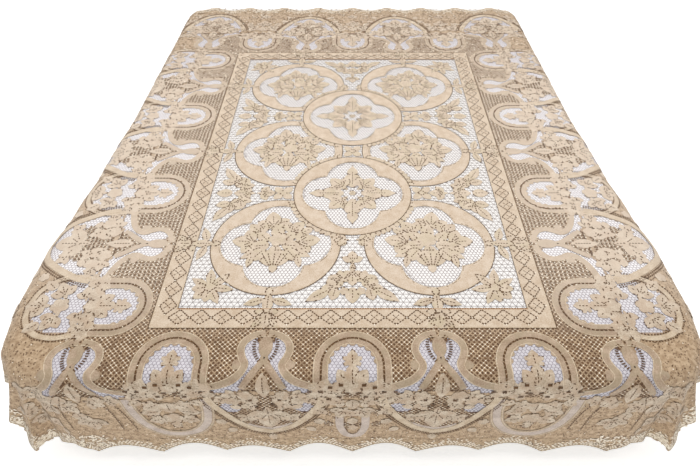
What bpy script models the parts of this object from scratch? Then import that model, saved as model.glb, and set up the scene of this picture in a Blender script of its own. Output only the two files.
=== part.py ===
"""Lace bedspread over a plain mattress on a low base, at real size in metres, +Z up.

The lace is one sheet. Its scalloped outline and its largest gaps are drawn flat, filled by
Blender's constrained triangulation, laid over the mattress by one drape rule, and given its
thickness by Solidify. The foot of the bed is at -Y. The origin is on the floor, under the
middle of the bed.
"""

import math

import bmesh
import bpy
import numpy as np
from mathutils import Vector
from mathutils.geometry import delaunay_2d_cdt

# The lace, cut flat: a panel framed by a ribbon of diamonds, and a wide border round it
REPEAT = 0.425
END_ARCH = 0.4155
END_OGEE = 0.2025
CORNER_OGEE = 0.6375
RIBBON_HALF_U = 2.3 * REPEAT / 2
RIBBON_HALF_V = 3.3 * REPEAT / 2
BORDER = 0.490
HALF_U = RIBBON_HALF_U + BORDER
HALF_V = RIBBON_HALF_V + BORDER
CORNER_RADIUS = 0.13
SCALLOPS_A_QUARTER = 12.5
SCALLOP_DEPTH = 0.042
SCALLOP_PARTS = (0.0, 0.15, 0.29, 0.41, 0.50, 0.59, 0.71, 0.85)
THICKNESS = 0.002

# The bed under it
BED_HALF_X = 0.80
BED_HALF_Y = 1.025
BED_TOP = 0.41
BASE_HEIGHT = 0.18
BASE_INSET = 0.050
BED_CORNER = 0.12
MATTRESS_ROUNDING = 0.04
MATTRESS_UNDER_ROUNDING = 0.02
BASE_ROUNDING = 0.006
ROUND_STEPS = 6
CORNER_STEPS = 8
TOUCH_GAP = 0.0003

# How the lace lies: the ribbon's foot side is this far in from the foot of the mattress
RIBBON_FROM_FOOT = 0.14
SHIFT_Y = -BED_HALF_Y + RIBBON_FROM_FOOT + RIBBON_HALF_V
CORE_X = BED_HALF_X - BED_CORNER
CORE_Y = BED_HALF_Y - BED_CORNER
STATION_RADIUS = 0.30
CORNER_STATION = STATION_RADIUS * math.pi / 2

# One row for each fold or hollow of a quarter. Station is metres round the bed, 0 where the
# side meets the corner, growing towards the end. Flare is degrees out from plumb, lean is
# degrees turned sideways, start is metres past the mattress edge and bend is a radius.
FOLD_COLUMNS = ("station", "flare", "lean", "start", "bend")
FOOT_FOLDS = (
    (-1.000, 5.0, 0.0, -0.030, 0.035),
    (-0.620, 10.0, 0.0, -0.020, 0.045),
    (-0.450, 14.0, 0.0, -0.012, 0.060),
    (-0.250, 17.0, 0.0, -0.004, 0.080),
    (-0.120, 18.0, 4.0, -0.004, 0.080),
    (0.040, 19.0, 12.0, -0.012, 0.060),
    (0.147, 12.0, -30.0, -0.020, 0.050),
    (0.238, 24.0, -37.0, -0.020, 0.045),
    (0.272, 18.5, -46.0, -0.024, 0.040),
    (0.302, 16.5, -39.0, -0.024, 0.040),
    (0.356, 13.0, -84.0, -0.030, 0.035),
    (0.419, 6.0, -70.0, -0.030, 0.035),
    (0.471, 1.8, -30.0, -0.030, 0.035),
    (0.600, 2.0, -4.0, -0.030, 0.035),
    (0.760, 0.5, 0.0, -0.030, 0.035),
    (0.930, 2.2, 0.0, -0.030, 0.035),
    (1.050, 0.6, 0.0, -0.030, 0.035),
    (1.151, 1.6, 0.0, -0.030, 0.035),
)
HEAD_FOLDS = (
    (-1.000, 5.0, 0.0, -0.030, 0.035),
    (-0.500, 9.0, 0.0, -0.030, 0.035),
    (-0.250, 5.0, 0.0, -0.030, 0.035),
    (-0.050, 14.0, 0.0, -0.030, 0.035),
    (0.050, 22.0, -4.0, -0.030, 0.035),
    (0.120, 16.0, -10.0, -0.030, 0.035),
    (0.220, 30.0, -6.0, -0.030, 0.035),
    (0.340, 60.0, 0.0, -0.033, 0.035),
    (0.471, 75.0, 0.0, -0.035, 0.035),
    (1.151, 75.0, 0.0, -0.035, 0.035),
)

# Where the sheet gets points to bend at
STRAIGHT_STEP = 0.085
FOLD_STEP = 0.0225
FOLDED_FROM = -0.06
FOLDED_TO = 0.50
ROLL_PARTS = 3
SKIRT_PARTS = (0.36, 0.70, 1.0)
HEM_ROOM = 0.050
TIP_ROOM = 0.003

# Motifs, as distances from the outer edge of the ribbon or from a ring's centre
ARCH_CENTRE = 0.100
ARCH_WINDOW = 0.044
ARCH_ANGLES = (-72, -30, 30, 72)
OGEE_WINDOWS = ((0.036, 0.052), (0.040, 0.088))
CORNER_OGEE_OUT = 0.025
LOBE_WINDOW = 0.124
LOBE_SPREAD = 15
LEAF_WINDOW = 0.068
SPRAY_WINDOW = 0.030
GAP_LONG = 0.0150
GAP_WIDE = 0.0095

LACE_COLOUR = (0.60, 0.46, 0.31, 1.0)
TICKING_COLOUR = (0.86, 0.86, 0.85, 1.0)
BASE_COLOUR = (0.72, 0.71, 0.69, 1.0)


def clear_scene():
    for old in list(bpy.data.objects):
        bpy.data.objects.remove(old, do_unlink=True)


def new_collection(name):
    group = bpy.data.collections.new(name)
    bpy.context.scene.collection.children.link(group)
    return group


def finish_of(name, colour, roughness):
    material = bpy.data.materials.new(name)
    material.use_nodes = True
    shader = material.node_tree.nodes["Principled BSDF"]
    shader.inputs["Base Color"].default_value = colour
    shader.inputs["Roughness"].default_value = roughness
    shader.inputs["Metallic"].default_value = 0.0
    return material


def column(rows, name):
    return np.array([row[FOLD_COLUMNS.index(name)] for row in rows])


def fold_at(stations, rows):
    """Flare, lean, start and bend at each station, eased from row to row."""
    places = column(rows, "station")
    held = np.clip(stations, places[0], places[-1])
    index = np.clip(np.searchsorted(places, held, side="right") - 1, 0, len(places) - 2)
    part = (held - places[index]) / (places[index + 1] - places[index])
    eased = part * part * (3 - 2 * part)
    values = []
    for name in FOLD_COLUMNS[1:]:
        table = column(rows, name)
        values.append(table[index] + (table[index + 1] - table[index]) * eased)
    return values


def fold_values(stations, towards_head):
    foot = fold_at(stations, FOOT_FOLDS)
    head = fold_at(stations, HEAD_FOLDS)
    return [np.where(towards_head, b, a) for a, b in zip(foot, head)]


def ruling(turn, flare, lean):
    """Unit direction in which the hanging cloth runs down, as x, y, z."""
    out = np.sin(flare) * np.cos(lean)
    side = np.sin(flare) * np.sin(lean)
    along_x = out * np.cos(turn) - side * np.sin(turn)
    along_y = out * np.sin(turn) + side * np.cos(turn)
    return along_x, along_y, -np.cos(flare)


def drape(u, v):
    """Places flat points on the bed: level on top, a round bend, then a straight hang."""
    x, y = np.asarray(u, float), np.asarray(v, float) + SHIFT_Y
    core_x, core_y = np.minimum(abs(x), CORE_X), np.minimum(abs(y), CORE_Y)
    over_x, over_y = abs(x) - core_x, abs(y) - core_y
    reach = np.hypot(over_x, over_y)
    turn = np.arctan2(over_y, over_x)
    past_corner = CORNER_STATION + CORE_X - abs(x)
    stations = np.where(over_x <= 0, past_corner, STATION_RADIUS * turn)
    stations = np.where(over_y <= 0, abs(y) - CORE_Y, stations)
    flare, lean, start, bend = fold_values(stations, y > 0)
    down = ruling(turn, np.radians(flare), np.radians(lean))
    whole = np.arccos(np.clip(np.sin(np.radians(flare)) * np.cos(np.radians(lean)), -1, 1))
    level = np.minimum(reach, BED_CORNER + start)
    hung = reach - level
    angle = np.clip(hung / bend, 0, whole)
    outward = level + bend * (np.cos(whole - angle) - np.cos(whole)) / np.sin(whole)
    hanging = bend * (1 - np.cos(angle)) / np.sin(whole) + np.maximum(hung - bend * whole, 0)
    place_x = core_x + np.cos(turn) * outward + down[0] * hanging
    place_y = core_y + np.sin(turn) * outward + down[1] * hanging
    place_z = BED_TOP + TOUCH_GAP + THICKNESS / 2 + down[2] * hanging
    return np.stack([np.copysign(place_x, x), np.copysign(place_y, y), place_z], -1)


def outline_place(distance):
    """Point and outward direction at a distance round the rounded flat rectangle."""
    straight_u, straight_v = HALF_U - CORNER_RADIUS, HALF_V - CORNER_RADIUS
    arc = CORNER_RADIUS * math.pi / 2
    quarter = straight_u + arc + straight_v
    number, rest = divmod(distance, quarter)
    if number % 2:
        rest = quarter - rest
    if rest < straight_u:
        point, out = (rest, -HALF_V), (0, -1)
    elif rest < straight_u + arc:
        turned = (rest - straight_u) / CORNER_RADIUS
        out = (math.sin(turned), -math.cos(turned))
        point = (straight_u + CORNER_RADIUS * out[0], -straight_v + CORNER_RADIUS * out[1])
    else:
        point, out = (HALF_U, rest - straight_u - arc - straight_v), (1, 0)
    side_u = 1 if number % 4 in (0, 1) else -1
    side_v = 1 if number % 4 in (0, 3) else -1
    return (
        Vector((point[0] * side_u, point[1] * side_v)),
        Vector((out[0] * side_u, out[1] * side_v)),
    )


def quarter_length():
    return HALF_U + HALF_V - 2 * CORNER_RADIUS + CORNER_RADIUS * math.pi / 2


def scalloped_outline():
    """The hem: pointed scallops with a round hollow between each two."""
    pitch = quarter_length() / SCALLOPS_A_QUARTER
    count = round(4 * SCALLOPS_A_QUARTER)
    points = []
    for number in range(count):
        for part in SCALLOP_PARTS:
            point, out = outline_place((number + part + 0.5) * pitch % (4 * quarter_length()))
            points.append(point - out * SCALLOP_DEPTH * abs(math.cos(math.pi * part)))
    return points


def diamond(centre, along, size=1.0):
    """A four-sided gap, longer in the direction along."""
    ahead = Vector(along).normalized() * GAP_LONG * size
    across = Vector((-ahead.y, ahead.x)).normalized() * GAP_WIDE * size
    centre = Vector(centre)
    return [centre - ahead, centre + across, centre + ahead, centre - across]


def turned(length, degrees, base):
    angle = math.radians(degrees) + math.atan2(base[1], base[0])
    return Vector((math.cos(angle), math.sin(angle))) * length


def ring_gaps(centre):
    """Gaps of one ring: two in each lobe of its opening, and eight between the leaves."""
    gaps = []
    for lobe in range(4):
        for spread in (-LOBE_SPREAD, LOBE_SPREAD):
            way = turned(LOBE_WINDOW, lobe * 90 + spread, (1, 0))
            gaps.append(diamond(Vector(centre) + way, (-way.y, way.x)))
    for leaf in range(8):
        way = turned(LEAF_WINDOW, leaf * 45 + 22.5, (1, 0))
        gaps.append(diamond(Vector(centre) + way, way, 0.85))
    return gaps


def arch_gaps(foot_point, out):
    """Gaps of the fan of net inside one arch of the border."""
    centre = Vector(foot_point) + Vector(out) * ARCH_CENTRE
    ways = [turned(ARCH_WINDOW, 180 + degrees, out) for degrees in ARCH_ANGLES]
    return [diamond(centre + way, way, 0.9) for way in ways]


def ogee_gaps(foot_point, out):
    """Gaps in the two strips of net inside one ogee of the border."""
    out = Vector(out).normalized()
    across = Vector((-out.y, out.x))
    gaps = []
    for side in (-1, 1):
        for wide, far in OGEE_WINDOWS:
            gaps.append(diamond(Vector(foot_point) + across * side * wide + out * far, out, 0.85))
    return gaps


def border_stations(half_u, half_v):
    """Arches and ogees: the point on the ribbon's outer edge and the way out."""
    arches, ogees = [], []
    for end in (-1, 1):
        arches += [((u * END_ARCH, end * half_v), (0, end)) for u in (-1, 0, 1)]
        ogees += [((u * END_OGEE, end * half_v), (0, end)) for u in (-1, 1)]
        corner_v = end * (half_v + CORNER_OGEE_OUT)
        ogees += [((u * CORNER_OGEE, corner_v), (0, end)) for u in (-1, 1)]
        arches += [((end * half_u, v * REPEAT), (end, 0)) for v in (-1.5, -0.5, 0.5, 1.5)]
        ogees += [((end * half_u, v * REPEAT), (end, 0)) for v in (-1, 0, 1)]
    return arches, ogees


def panel_gaps():
    """Gaps beside the leaf sprays, where the rings leave corners of net by the ribbon."""
    gaps = []
    for side in (-1, 1):
        for end in (-1, 1):
            for u, v in ((1.0, 0.5), (0.0, 1.5), (1.0, 1.5)):
                centre = Vector((u * REPEAT * side, v * REPEAT * end))
                for way in ((-side, 0), (0, -end)):
                    gaps.append(diamond(centre + Vector(way) * SPRAY_WINDOW, way))
    unique = {(round(gap[0].x, 4), round(gap[0].y, 4)): gap for gap in gaps}
    return list(unique.values())


def all_gaps():
    gaps = []
    for v in (-0.5, 0.5):
        gaps += ring_gaps((0, v * REPEAT))
    for side in (-0.5, 0.5):
        for v in (-1, 0, 1):
            gaps += ring_gaps((side * REPEAT, v * REPEAT))
    arches, ogees = border_stations(RIBBON_HALF_U, RIBBON_HALF_V)
    for place, out in arches:
        gaps += arch_gaps(place, out)
    for place, out in ogees:
        gaps += ogee_gaps(place, out)
    return gaps + panel_gaps()


def inside_outline(u, v, margin):
    """True within the rounded rectangle drawn in by a margin."""
    half_u, half_v = HALF_U - margin, HALF_V - margin
    if abs(u) > half_u or abs(v) > half_v:
        return False
    past_u, past_v = abs(u) - (HALF_U - CORNER_RADIUS), abs(v) - (HALF_V - CORNER_RADIUS)
    return min(past_u, past_v) <= 0 or math.hypot(past_u, past_v) <= CORNER_RADIUS - margin


def flat_point(station, reach, side, end):
    """The flat point whose nearest core point lies at a station, reach away from it."""
    turn = min(max(station / STATION_RADIUS, 0), math.pi / 2)
    core_x = CORE_X - max(station - CORNER_STATION, 0)
    core_y = CORE_Y + min(station, 0)
    x, y = core_x + reach * math.cos(turn), core_y + reach * math.sin(turn)
    return Vector((x * side, y * end - SHIFT_Y))


def hem_reach(station, side, end, margin):
    """Distance from the core to a line a margin inside the hem's tips, along one ray."""
    near, far = 0.0, 1.0
    while far - near > 1e-4:
        middle = (near + far) / 2
        inside = inside_outline(*flat_point(station, middle, side, end), margin)
        near, far = (middle, far) if inside else (near, middle)
    return near


def quarter_stations():
    """Stations of a quarter, closer together where the corner folds."""
    side = np.arange(-CORE_Y, FOLDED_FROM, STRAIGHT_STEP)
    folded = np.arange(FOLDED_FROM, FOLDED_TO, FOLD_STEP)
    end = np.linspace(FOLDED_TO, CORNER_STATION + CORE_X, 8)
    return [float(station) for station in np.concatenate([side, folded, end])]


def bend_reaches(station, side, end):
    """Distances from the core at which the sheet has points on this ray, inside the hem."""
    flare, lean, start, bend = (
        float(value) for value in fold_values(np.array(station), np.array(end > 0))
    )
    whole = math.acos(math.sin(math.radians(flare)) * math.cos(math.radians(lean)))
    first = BED_CORNER + start
    last = first + bend * whole
    skirt_end = hem_reach(station, side, end, HEM_ROOM)
    tips = hem_reach(station, side, end, TIP_ROOM)
    rolls = [first + (last - first) * part / ROLL_PARTS for part in range(ROLL_PARTS + 1)]
    reaches = [reach if reach <= tips else None for reach in rolls]
    for part in SKIRT_PARTS:
        reaches.append(last + (skirt_end - last) * part if skirt_end > last else None)
    return reaches


def bend_loops():
    """Rings of points round the sheet along which it bends, broken where they pass the hem."""
    stations = quarter_stations()
    turns = [
        (1, -1, stations[::-1]),
        (1, 1, stations[1:]),
        (-1, 1, stations[-2::-1]),
        (-1, -1, stations[1:-1]),
    ]
    rays = []
    for side, end, places in turns:
        for station in places:
            reaches = bend_reaches(station, side, end)
            flats = [None if r is None else flat_point(station, r, side, end) for r in reaches]
            rays.append(flats)
    return [list(loop) for loop in zip(*rays)]


class FlatDrawing:
    """Points, edges and closed faces to be triangulated together."""

    def __init__(self):
        self.points, self.edges, self.faces = [], [], []

    def add_loop(self, points):
        first = len(self.points)
        self.points += points
        self.faces.append(list(range(first, first + len(points))))

    def add_line(self, points):
        """Adds a ring of points, joined where two neighbours are both there."""
        numbers = []
        for point in points:
            numbers.append(None if point is None else len(self.points))
            self.points += [] if point is None else [point]
        for first, second in zip(numbers, numbers[1:] + numbers[:1]):
            if first is not None and second is not None:
                self.edges.append((first, second))


def counter_clockwise(points):
    area = sum(a.x * b.y - b.x * a.y for a, b in zip(points, points[1:] + points[:1]))
    return points if area > 0 else points[::-1]


def lace_mesh():
    """The lace's middle surface: triangles between the hem and the gaps, then draped."""
    drawing = FlatDrawing()
    drawing.add_loop(counter_clockwise(scalloped_outline()))
    for gap in all_gaps():
        drawing.add_loop(counter_clockwise(gap))
    for loop in bend_loops():
        drawing.add_line(loop)
    filled = delaunay_2d_cdt(drawing.points, drawing.edges, drawing.faces, 0, 1e-5)
    flat, triangles, sources = filled[0], filled[2], filled[5]
    kept = [face for face, source in zip(triangles, sources) if list(source) == [0]]
    used = sorted({corner for face in kept for corner in face})
    renumbered = {old: new for new, old in enumerate(used)}
    draped = drape([flat[old].x for old in used], [flat[old].y for old in used])
    mesh = bpy.data.meshes.new("lace_bedspread")
    faces = [[renumbered[corner] for corner in face] for face in kept]
    mesh.from_pydata([tuple(map(float, place)) for place in draped], [], faces)
    mesh.update()
    return mesh


def make_lace(group):
    lace = bpy.data.objects.new("lace_bedspread", lace_mesh())
    group.objects.link(lace)
    solid = lace.modifiers.new("Thickness", "SOLIDIFY")
    solid.thickness = THICKNESS
    solid.offset = 0.0
    lace.data.materials.append(finish_of("ecru_cotton_lace", LACE_COLOUR, 0.85))
    return lace


def rounded_slab(name, half_x, half_y, bottom, top, corner, edges):
    """A box with round upright corners, and top and bottom edges rounded by edges."""
    shape = bmesh.new()
    bmesh.ops.create_cube(shape, size=1.0)
    bmesh.ops.scale(shape, vec=(2 * half_x, 2 * half_y, top - bottom), verts=shape.verts)
    bmesh.ops.translate(shape, vec=(0, 0, (top + bottom) / 2), verts=shape.verts)
    upright = [edge for edge in shape.edges if abs(edge.verts[0].co.z - edge.verts[1].co.z) > 1e-4]
    bmesh.ops.bevel(
        shape, geom=upright, offset=corner, segments=CORNER_STEPS, profile=0.5, affect="EDGES"
    )
    for height, rounding in ((top, edges[0]), (bottom, edges[1])):
        rim = [
            edge
            for edge in shape.edges
            if all(abs(end.co.z - height) < 1e-5 for end in edge.verts)
        ]
        bmesh.ops.bevel(
            shape, geom=rim, offset=rounding, segments=ROUND_STEPS, profile=0.5, affect="EDGES"
        )
    mesh = bpy.data.meshes.new(name)
    shape.to_mesh(mesh)
    shape.free()
    mesh.shade_smooth()
    return bpy.data.objects.new(name, mesh)


def make_bed(group):
    mattress = rounded_slab(
        "mattress", BED_HALF_X, BED_HALF_Y, BASE_HEIGHT + TOUCH_GAP, BED_TOP,
        BED_CORNER, (MATTRESS_ROUNDING, MATTRESS_UNDER_ROUNDING),
    )
    mattress.data.materials.append(finish_of("white_ticking", TICKING_COLOUR, 0.9))
    base = rounded_slab(
        "bed_base", BED_HALF_X - BASE_INSET, BED_HALF_Y - BASE_INSET, 0.0, BASE_HEIGHT,
        BED_CORNER - BASE_INSET, (BASE_ROUNDING, BASE_ROUNDING),
    )
    base.data.materials.append(finish_of("pale_base_cloth", BASE_COLOUR, 0.9))
    for piece in (mattress, base):
        group.objects.link(piece)


clear_scene()
pieces = new_collection("lace_bedspread_on_a_mattress")
make_bed(pieces)
make_lace(pieces)
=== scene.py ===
# %% [markdown]
# # A lace bedspread, built the way its threads lie
# This lesson dresses a packed bed with a machine lace bedspread. Real lace of this sort is one
# sheet: a fine net carries close woven shapes, the shapes are edged with thicker thread, and the
# gaps between them are left open. The sheet is drawn flat here, in metres, as a lacemaker's
# pattern is. One rule then lays every thread over the mattress, so all layers fold together.

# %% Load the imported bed
import math

import bpy
import numpy as np
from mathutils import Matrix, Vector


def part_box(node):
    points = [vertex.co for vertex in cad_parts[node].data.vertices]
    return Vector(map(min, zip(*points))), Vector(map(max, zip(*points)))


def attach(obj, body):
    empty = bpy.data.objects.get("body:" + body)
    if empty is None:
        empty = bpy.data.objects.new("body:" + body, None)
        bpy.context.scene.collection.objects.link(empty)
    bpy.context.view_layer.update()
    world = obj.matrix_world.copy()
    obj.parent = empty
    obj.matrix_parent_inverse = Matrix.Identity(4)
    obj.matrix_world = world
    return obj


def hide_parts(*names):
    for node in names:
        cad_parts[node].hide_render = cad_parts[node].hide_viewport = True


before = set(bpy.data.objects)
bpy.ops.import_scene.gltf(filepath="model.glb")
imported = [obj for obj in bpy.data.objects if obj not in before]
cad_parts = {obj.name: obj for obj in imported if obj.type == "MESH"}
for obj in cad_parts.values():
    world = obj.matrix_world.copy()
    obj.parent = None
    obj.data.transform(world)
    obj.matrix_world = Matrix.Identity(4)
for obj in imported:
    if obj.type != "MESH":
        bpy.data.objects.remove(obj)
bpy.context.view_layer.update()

bed_low, bed_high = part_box("mattress")
print("bed top at", round(bed_high.z, 4), "m, nodes:", sorted(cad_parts))

# %% [markdown]
# ## Sizes of the flat lace
# The pattern repeats every 425 mm. A ribbon of diamonds frames the panel, and the border hangs
# from it. Everything else is a multiple of these few lengths, so a change here moves all of it.

# %% Sizes of the flat lace
REPEAT = 0.425
END_ARCH = 0.4155
END_OGEE = 0.2025
CORNER_OGEE = 0.6375
RIBBON_HALF_U = 2.3 * REPEAT / 2
RIBBON_HALF_V = 3.3 * REPEAT / 2
RIBBON_WIDTH = 0.054
PANEL_HALF_U = RIBBON_HALF_U - RIBBON_WIDTH
PANEL_HALF_V = RIBBON_HALF_V - RIBBON_WIDTH
BORDER = 0.490
HALF_U = RIBBON_HALF_U + BORDER
HALF_V = RIBBON_HALF_V + BORDER
HEM_CORNER = 0.13
SCALLOPS_A_QUARTER = 12.5
SCALLOP_DEPTH = 0.042
print("flat lace", round(2 * HALF_U, 4), "by", round(2 * HALF_V, 4), "m")

# %% [markdown]
# ## How the cloth lies
# A sheet laid on a bed is level on top, bends over the edge and hangs. At a corner there is too
# much of it, so it falls in folds. Cloth simulation could find the folds, but a rule gives the
# same folds to every layer of thread: for each place round the bed it holds how far the cloth
# flares from plumb, how far it leans sideways, and how round it bends.

# %% Folds of one quarter
THICKNESS = 0.002
TOUCH_GAP = 0.0003
BED_CORNER = 0.12
RIBBON_FROM_FOOT = 0.14
SHIFT_Y = bed_low.y + RIBBON_FROM_FOOT + RIBBON_HALF_V
CORE_X = bed_high.x - BED_CORNER
CORE_Y = bed_high.y - BED_CORNER
STATION_RADIUS = 0.30
CORNER_STATION = STATION_RADIUS * math.pi / 2

# Columns: station round the bed in m, flare and lean in degrees, start and bend in m
FOLD_COLUMNS = ("station", "flare", "lean", "start", "bend")
FOOT_FOLDS = (
    (-1.000, 5.0, 0.0, -0.030, 0.035),
    (-0.620, 10.0, 0.0, -0.020, 0.045),
    (-0.450, 14.0, 0.0, -0.012, 0.060),
    (-0.250, 17.0, 0.0, -0.004, 0.080),
    (-0.120, 18.0, 4.0, -0.004, 0.080),
    (0.040, 19.0, 12.0, -0.012, 0.060),
    (0.147, 12.0, -30.0, -0.020, 0.050),
    (0.238, 24.0, -37.0, -0.020, 0.045),
    (0.272, 18.5, -46.0, -0.024, 0.040),
    (0.302, 16.5, -39.0, -0.024, 0.040),
    (0.356, 13.0, -84.0, -0.030, 0.035),
    (0.419, 6.0, -70.0, -0.030, 0.035),
    (0.471, 1.8, -30.0, -0.030, 0.035),
    (0.600, 2.0, -4.0, -0.030, 0.035),
    (0.760, 0.5, 0.0, -0.030, 0.035),
    (0.930, 2.2, 0.0, -0.030, 0.035),
    (1.050, 0.6, 0.0, -0.030, 0.035),
    (1.151, 1.6, 0.0, -0.030, 0.035),
)
HEAD_FOLDS = (
    (-1.000, 5.0, 0.0, -0.030, 0.035),
    (-0.500, 9.0, 0.0, -0.030, 0.035),
    (-0.250, 5.0, 0.0, -0.030, 0.035),
    (-0.050, 14.0, 0.0, -0.030, 0.035),
    (0.050, 22.0, -4.0, -0.030, 0.035),
    (0.120, 16.0, -10.0, -0.030, 0.035),
    (0.220, 30.0, -6.0, -0.030, 0.035),
    (0.340, 60.0, 0.0, -0.033, 0.035),
    (0.471, 75.0, 0.0, -0.035, 0.035),
    (1.151, 75.0, 0.0, -0.035, 0.035),
)


def column(rows, name):
    return np.array([row[FOLD_COLUMNS.index(name)] for row in rows])


def fold_at(stations, rows):
    """Flare, lean, start and bend at each station, eased from row to row."""
    places = column(rows, "station")
    held = np.clip(stations, places[0], places[-1])
    index = np.clip(np.searchsorted(places, held, side="right") - 1, 0, len(places) - 2)
    part = (held - places[index]) / (places[index + 1] - places[index])
    eased = part * part * (3 - 2 * part)
    values = []
    for name in FOLD_COLUMNS[1:]:
        table = column(rows, name)
        values.append(table[index] + (table[index + 1] - table[index]) * eased)
    return values


# %% [markdown]
# The rule itself: a flat point goes to the nearest place on the level core of the bed, then out
# along a ray, round an arc and down a straight line. Two nearby points give the direction square
# to the cloth, along which raised threads stand up.

# %% Lay flat points over the bed
def ruling(turn, flare, lean):
    """Unit direction in which the hanging cloth runs down, as x, y, z."""
    out = np.sin(flare) * np.cos(lean)
    side = np.sin(flare) * np.sin(lean)
    along_x = out * np.cos(turn) - side * np.sin(turn)
    along_y = out * np.sin(turn) + side * np.cos(turn)
    return along_x, along_y, -np.cos(flare)


def drape(u, v):
    x, y = u, v + SHIFT_Y
    core_x, core_y = np.minimum(abs(x), CORE_X), np.minimum(abs(y), CORE_Y)
    over_x, over_y = abs(x) - core_x, abs(y) - core_y
    reach = np.hypot(over_x, over_y)
    turn = np.arctan2(over_y, over_x)
    past_corner = CORNER_STATION + CORE_X - abs(x)
    stations = np.where(over_x <= 0, past_corner, STATION_RADIUS * turn)
    stations = np.where(over_y <= 0, abs(y) - CORE_Y, stations)
    foot, head = fold_at(stations, FOOT_FOLDS), fold_at(stations, HEAD_FOLDS)
    flare, lean, start, bend = (np.where(y > 0, b, a) for a, b in zip(foot, head))
    down = ruling(turn, np.radians(flare), np.radians(lean))
    whole = np.arccos(np.clip(np.sin(np.radians(flare)) * np.cos(np.radians(lean)), -1, 1))
    level = np.minimum(reach, BED_CORNER + start)
    hung = reach - level
    angle = np.clip(hung / bend, 0, whole)
    outward = level + bend * (np.cos(whole - angle) - np.cos(whole)) / np.sin(whole)
    hanging = bend * (1 - np.cos(angle)) / np.sin(whole) + np.maximum(hung - bend * whole, 0)
    place_x = core_x + np.cos(turn) * outward + down[0] * hanging
    place_y = core_y + np.sin(turn) * outward + down[1] * hanging
    place_z = bed_high.z + TOUCH_GAP + THICKNESS / 2 + down[2] * hanging
    return np.stack([np.copysign(place_x, x), np.copysign(place_y, y), place_z], -1)


NEARBY = 0.0005


def over_the_bed(flat):
    """Places of flat points given as u, v and rise over the middle of the cloth."""
    u, v, rise = flat.T
    across = drape(u + NEARBY, v) - drape(u - NEARBY, v)
    along = drape(u, v + NEARBY) - drape(u, v - NEARBY)
    square = np.cross(across, along)
    square /= np.linalg.norm(square, axis=1)[:, None]
    return drape(u, v) + square * rise[:, None]


print("hem at the foot comes down to", drape(np.array([0.0]), np.array([-HALF_V]))[0].round(3))

# %% [markdown]
# ## Layers of the lace
# Each layer collects flat points and faces from many motifs, and is made into one mesh at the
# end. Filling a mesh from arrays takes seconds where one operator for each petal would take an
# hour. The flat place of each point is kept as its UV, so that materials can draw threads at
# their real size whatever the folds do.

# %% A layer of threads or stitches
class Layer:
    def __init__(self, name):
        self.name, self.points, self.count = name, [], 0
        self.faces = {3: [], 4: []}

    def add(self, flat, rise, faces):
        rises = np.broadcast_to(np.asarray(rise, float).reshape(-1), (len(flat),))
        self.points.append(np.column_stack([flat, rises]))
        self.faces[faces.shape[1]].append(faces + self.count)
        self.count += len(flat)

    def triangles(self):
        return sum((size - 2) * len(rows) for size, lists in self.faces.items() for rows in lists)


def lay_on_bed(layer, finish):
    """Makes the layer's mesh, laid over the bed, and ties it to the frame."""
    flat = np.concatenate(layer.points)
    blocks = [rows for size in (3, 4) for rows in layer.faces[size]]
    loops = np.concatenate([rows.ravel() for rows in blocks])
    sizes = np.concatenate([np.full(len(rows), rows.shape[1]) for rows in blocks])
    mesh = bpy.data.meshes.new(layer.name)
    mesh.vertices.add(len(flat))
    mesh.vertices.foreach_set("co", over_the_bed(flat).ravel())
    mesh.loops.add(len(loops))
    mesh.loops.foreach_set("vertex_index", loops)
    mesh.polygons.add(len(sizes))
    mesh.polygons.foreach_set("loop_start", np.cumsum(sizes) - sizes)
    mesh.update(calc_edges=True)
    mesh.uv_layers.new(name="flat").data.foreach_set("uv", flat[loops, :2].ravel())
    mesh.shade_smooth()
    mesh.materials.append(finish)
    piece = bpy.data.objects.new(layer.name, mesh)
    bpy.context.scene.collection.objects.link(piece)
    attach(piece, "root")
    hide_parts("lace_bedspread")
    print(layer.name, layer.triangles(), "triangles")
    return piece


# %% [markdown]
# Three tools draw almost everything. A plate is a petal or leaf of close stitch: a rim that
# stands up a little and dips to the middle. A band is the same along a path. A cord is a thick
# thread, drawn as a small roof because its underside is never seen.

# %% Plates, bands and cords
PLATE_RINGS = ((1.0, 0.0), (0.84, 0.0005), (0.45, 0.0002))
BAND_COLUMNS = ((0.0, 0.0), (0.10, 0.0006), (0.28, 0.0003), (0.72, 0.0003), (0.90, 0.0006), (1.0, 0.0))


def ring_faces(count, rows, closed=True):
    """Quads between rows of count points, each row joined round if closed."""
    here = np.arange(count if closed else count - 1)
    there = (here + 1) % count
    faces = [
        np.column_stack([row * count + here, row * count + there,
                         (row + 1) * count + there, (row + 1) * count + here])
        for row in range(rows - 1)
    ]
    return np.concatenate(faces)


def add_plate(layer, outline, lift):
    middle, count = outline.mean(0), len(outline)
    rings = [middle + (outline - middle) * share for share, _ in PLATE_RINGS]
    rises = [np.full(count, lift + rise) for _, rise in PLATE_RINGS]
    layer.add(np.concatenate(rings), np.concatenate(rises), ring_faces(count, len(rings)))
    here = np.arange(count)
    fan = np.column_stack([here, (here + 1) % count, np.full(count, count)])
    layer.add(np.vstack([rings[-1], middle]), lift + PLATE_RINGS[-1][1], fan)


def add_band(layer, left, right, lift, columns=BAND_COLUMNS, kept=None):
    """A strip between two paths of as many points; kept picks the points whose faces stay."""
    count = len(left)
    rows = np.concatenate([left + (right - left) * share for share, _ in columns])
    rises = np.concatenate([np.full(count, lift + rise) for _, rise in columns])
    faces = ring_faces(count, len(columns), closed=False)
    if kept is not None:
        faces = faces[kept(rows[faces].mean(1))]
    layer.add(rows, rises, faces)


def square_to(path):
    """Unit directions to the left of an open path at each of its points."""
    ahead = np.gradient(path, axis=0)
    ahead /= np.linalg.norm(ahead, axis=1)[:, None] + 1e-12
    return np.column_stack([-ahead[:, 1], ahead[:, 0]])


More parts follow.
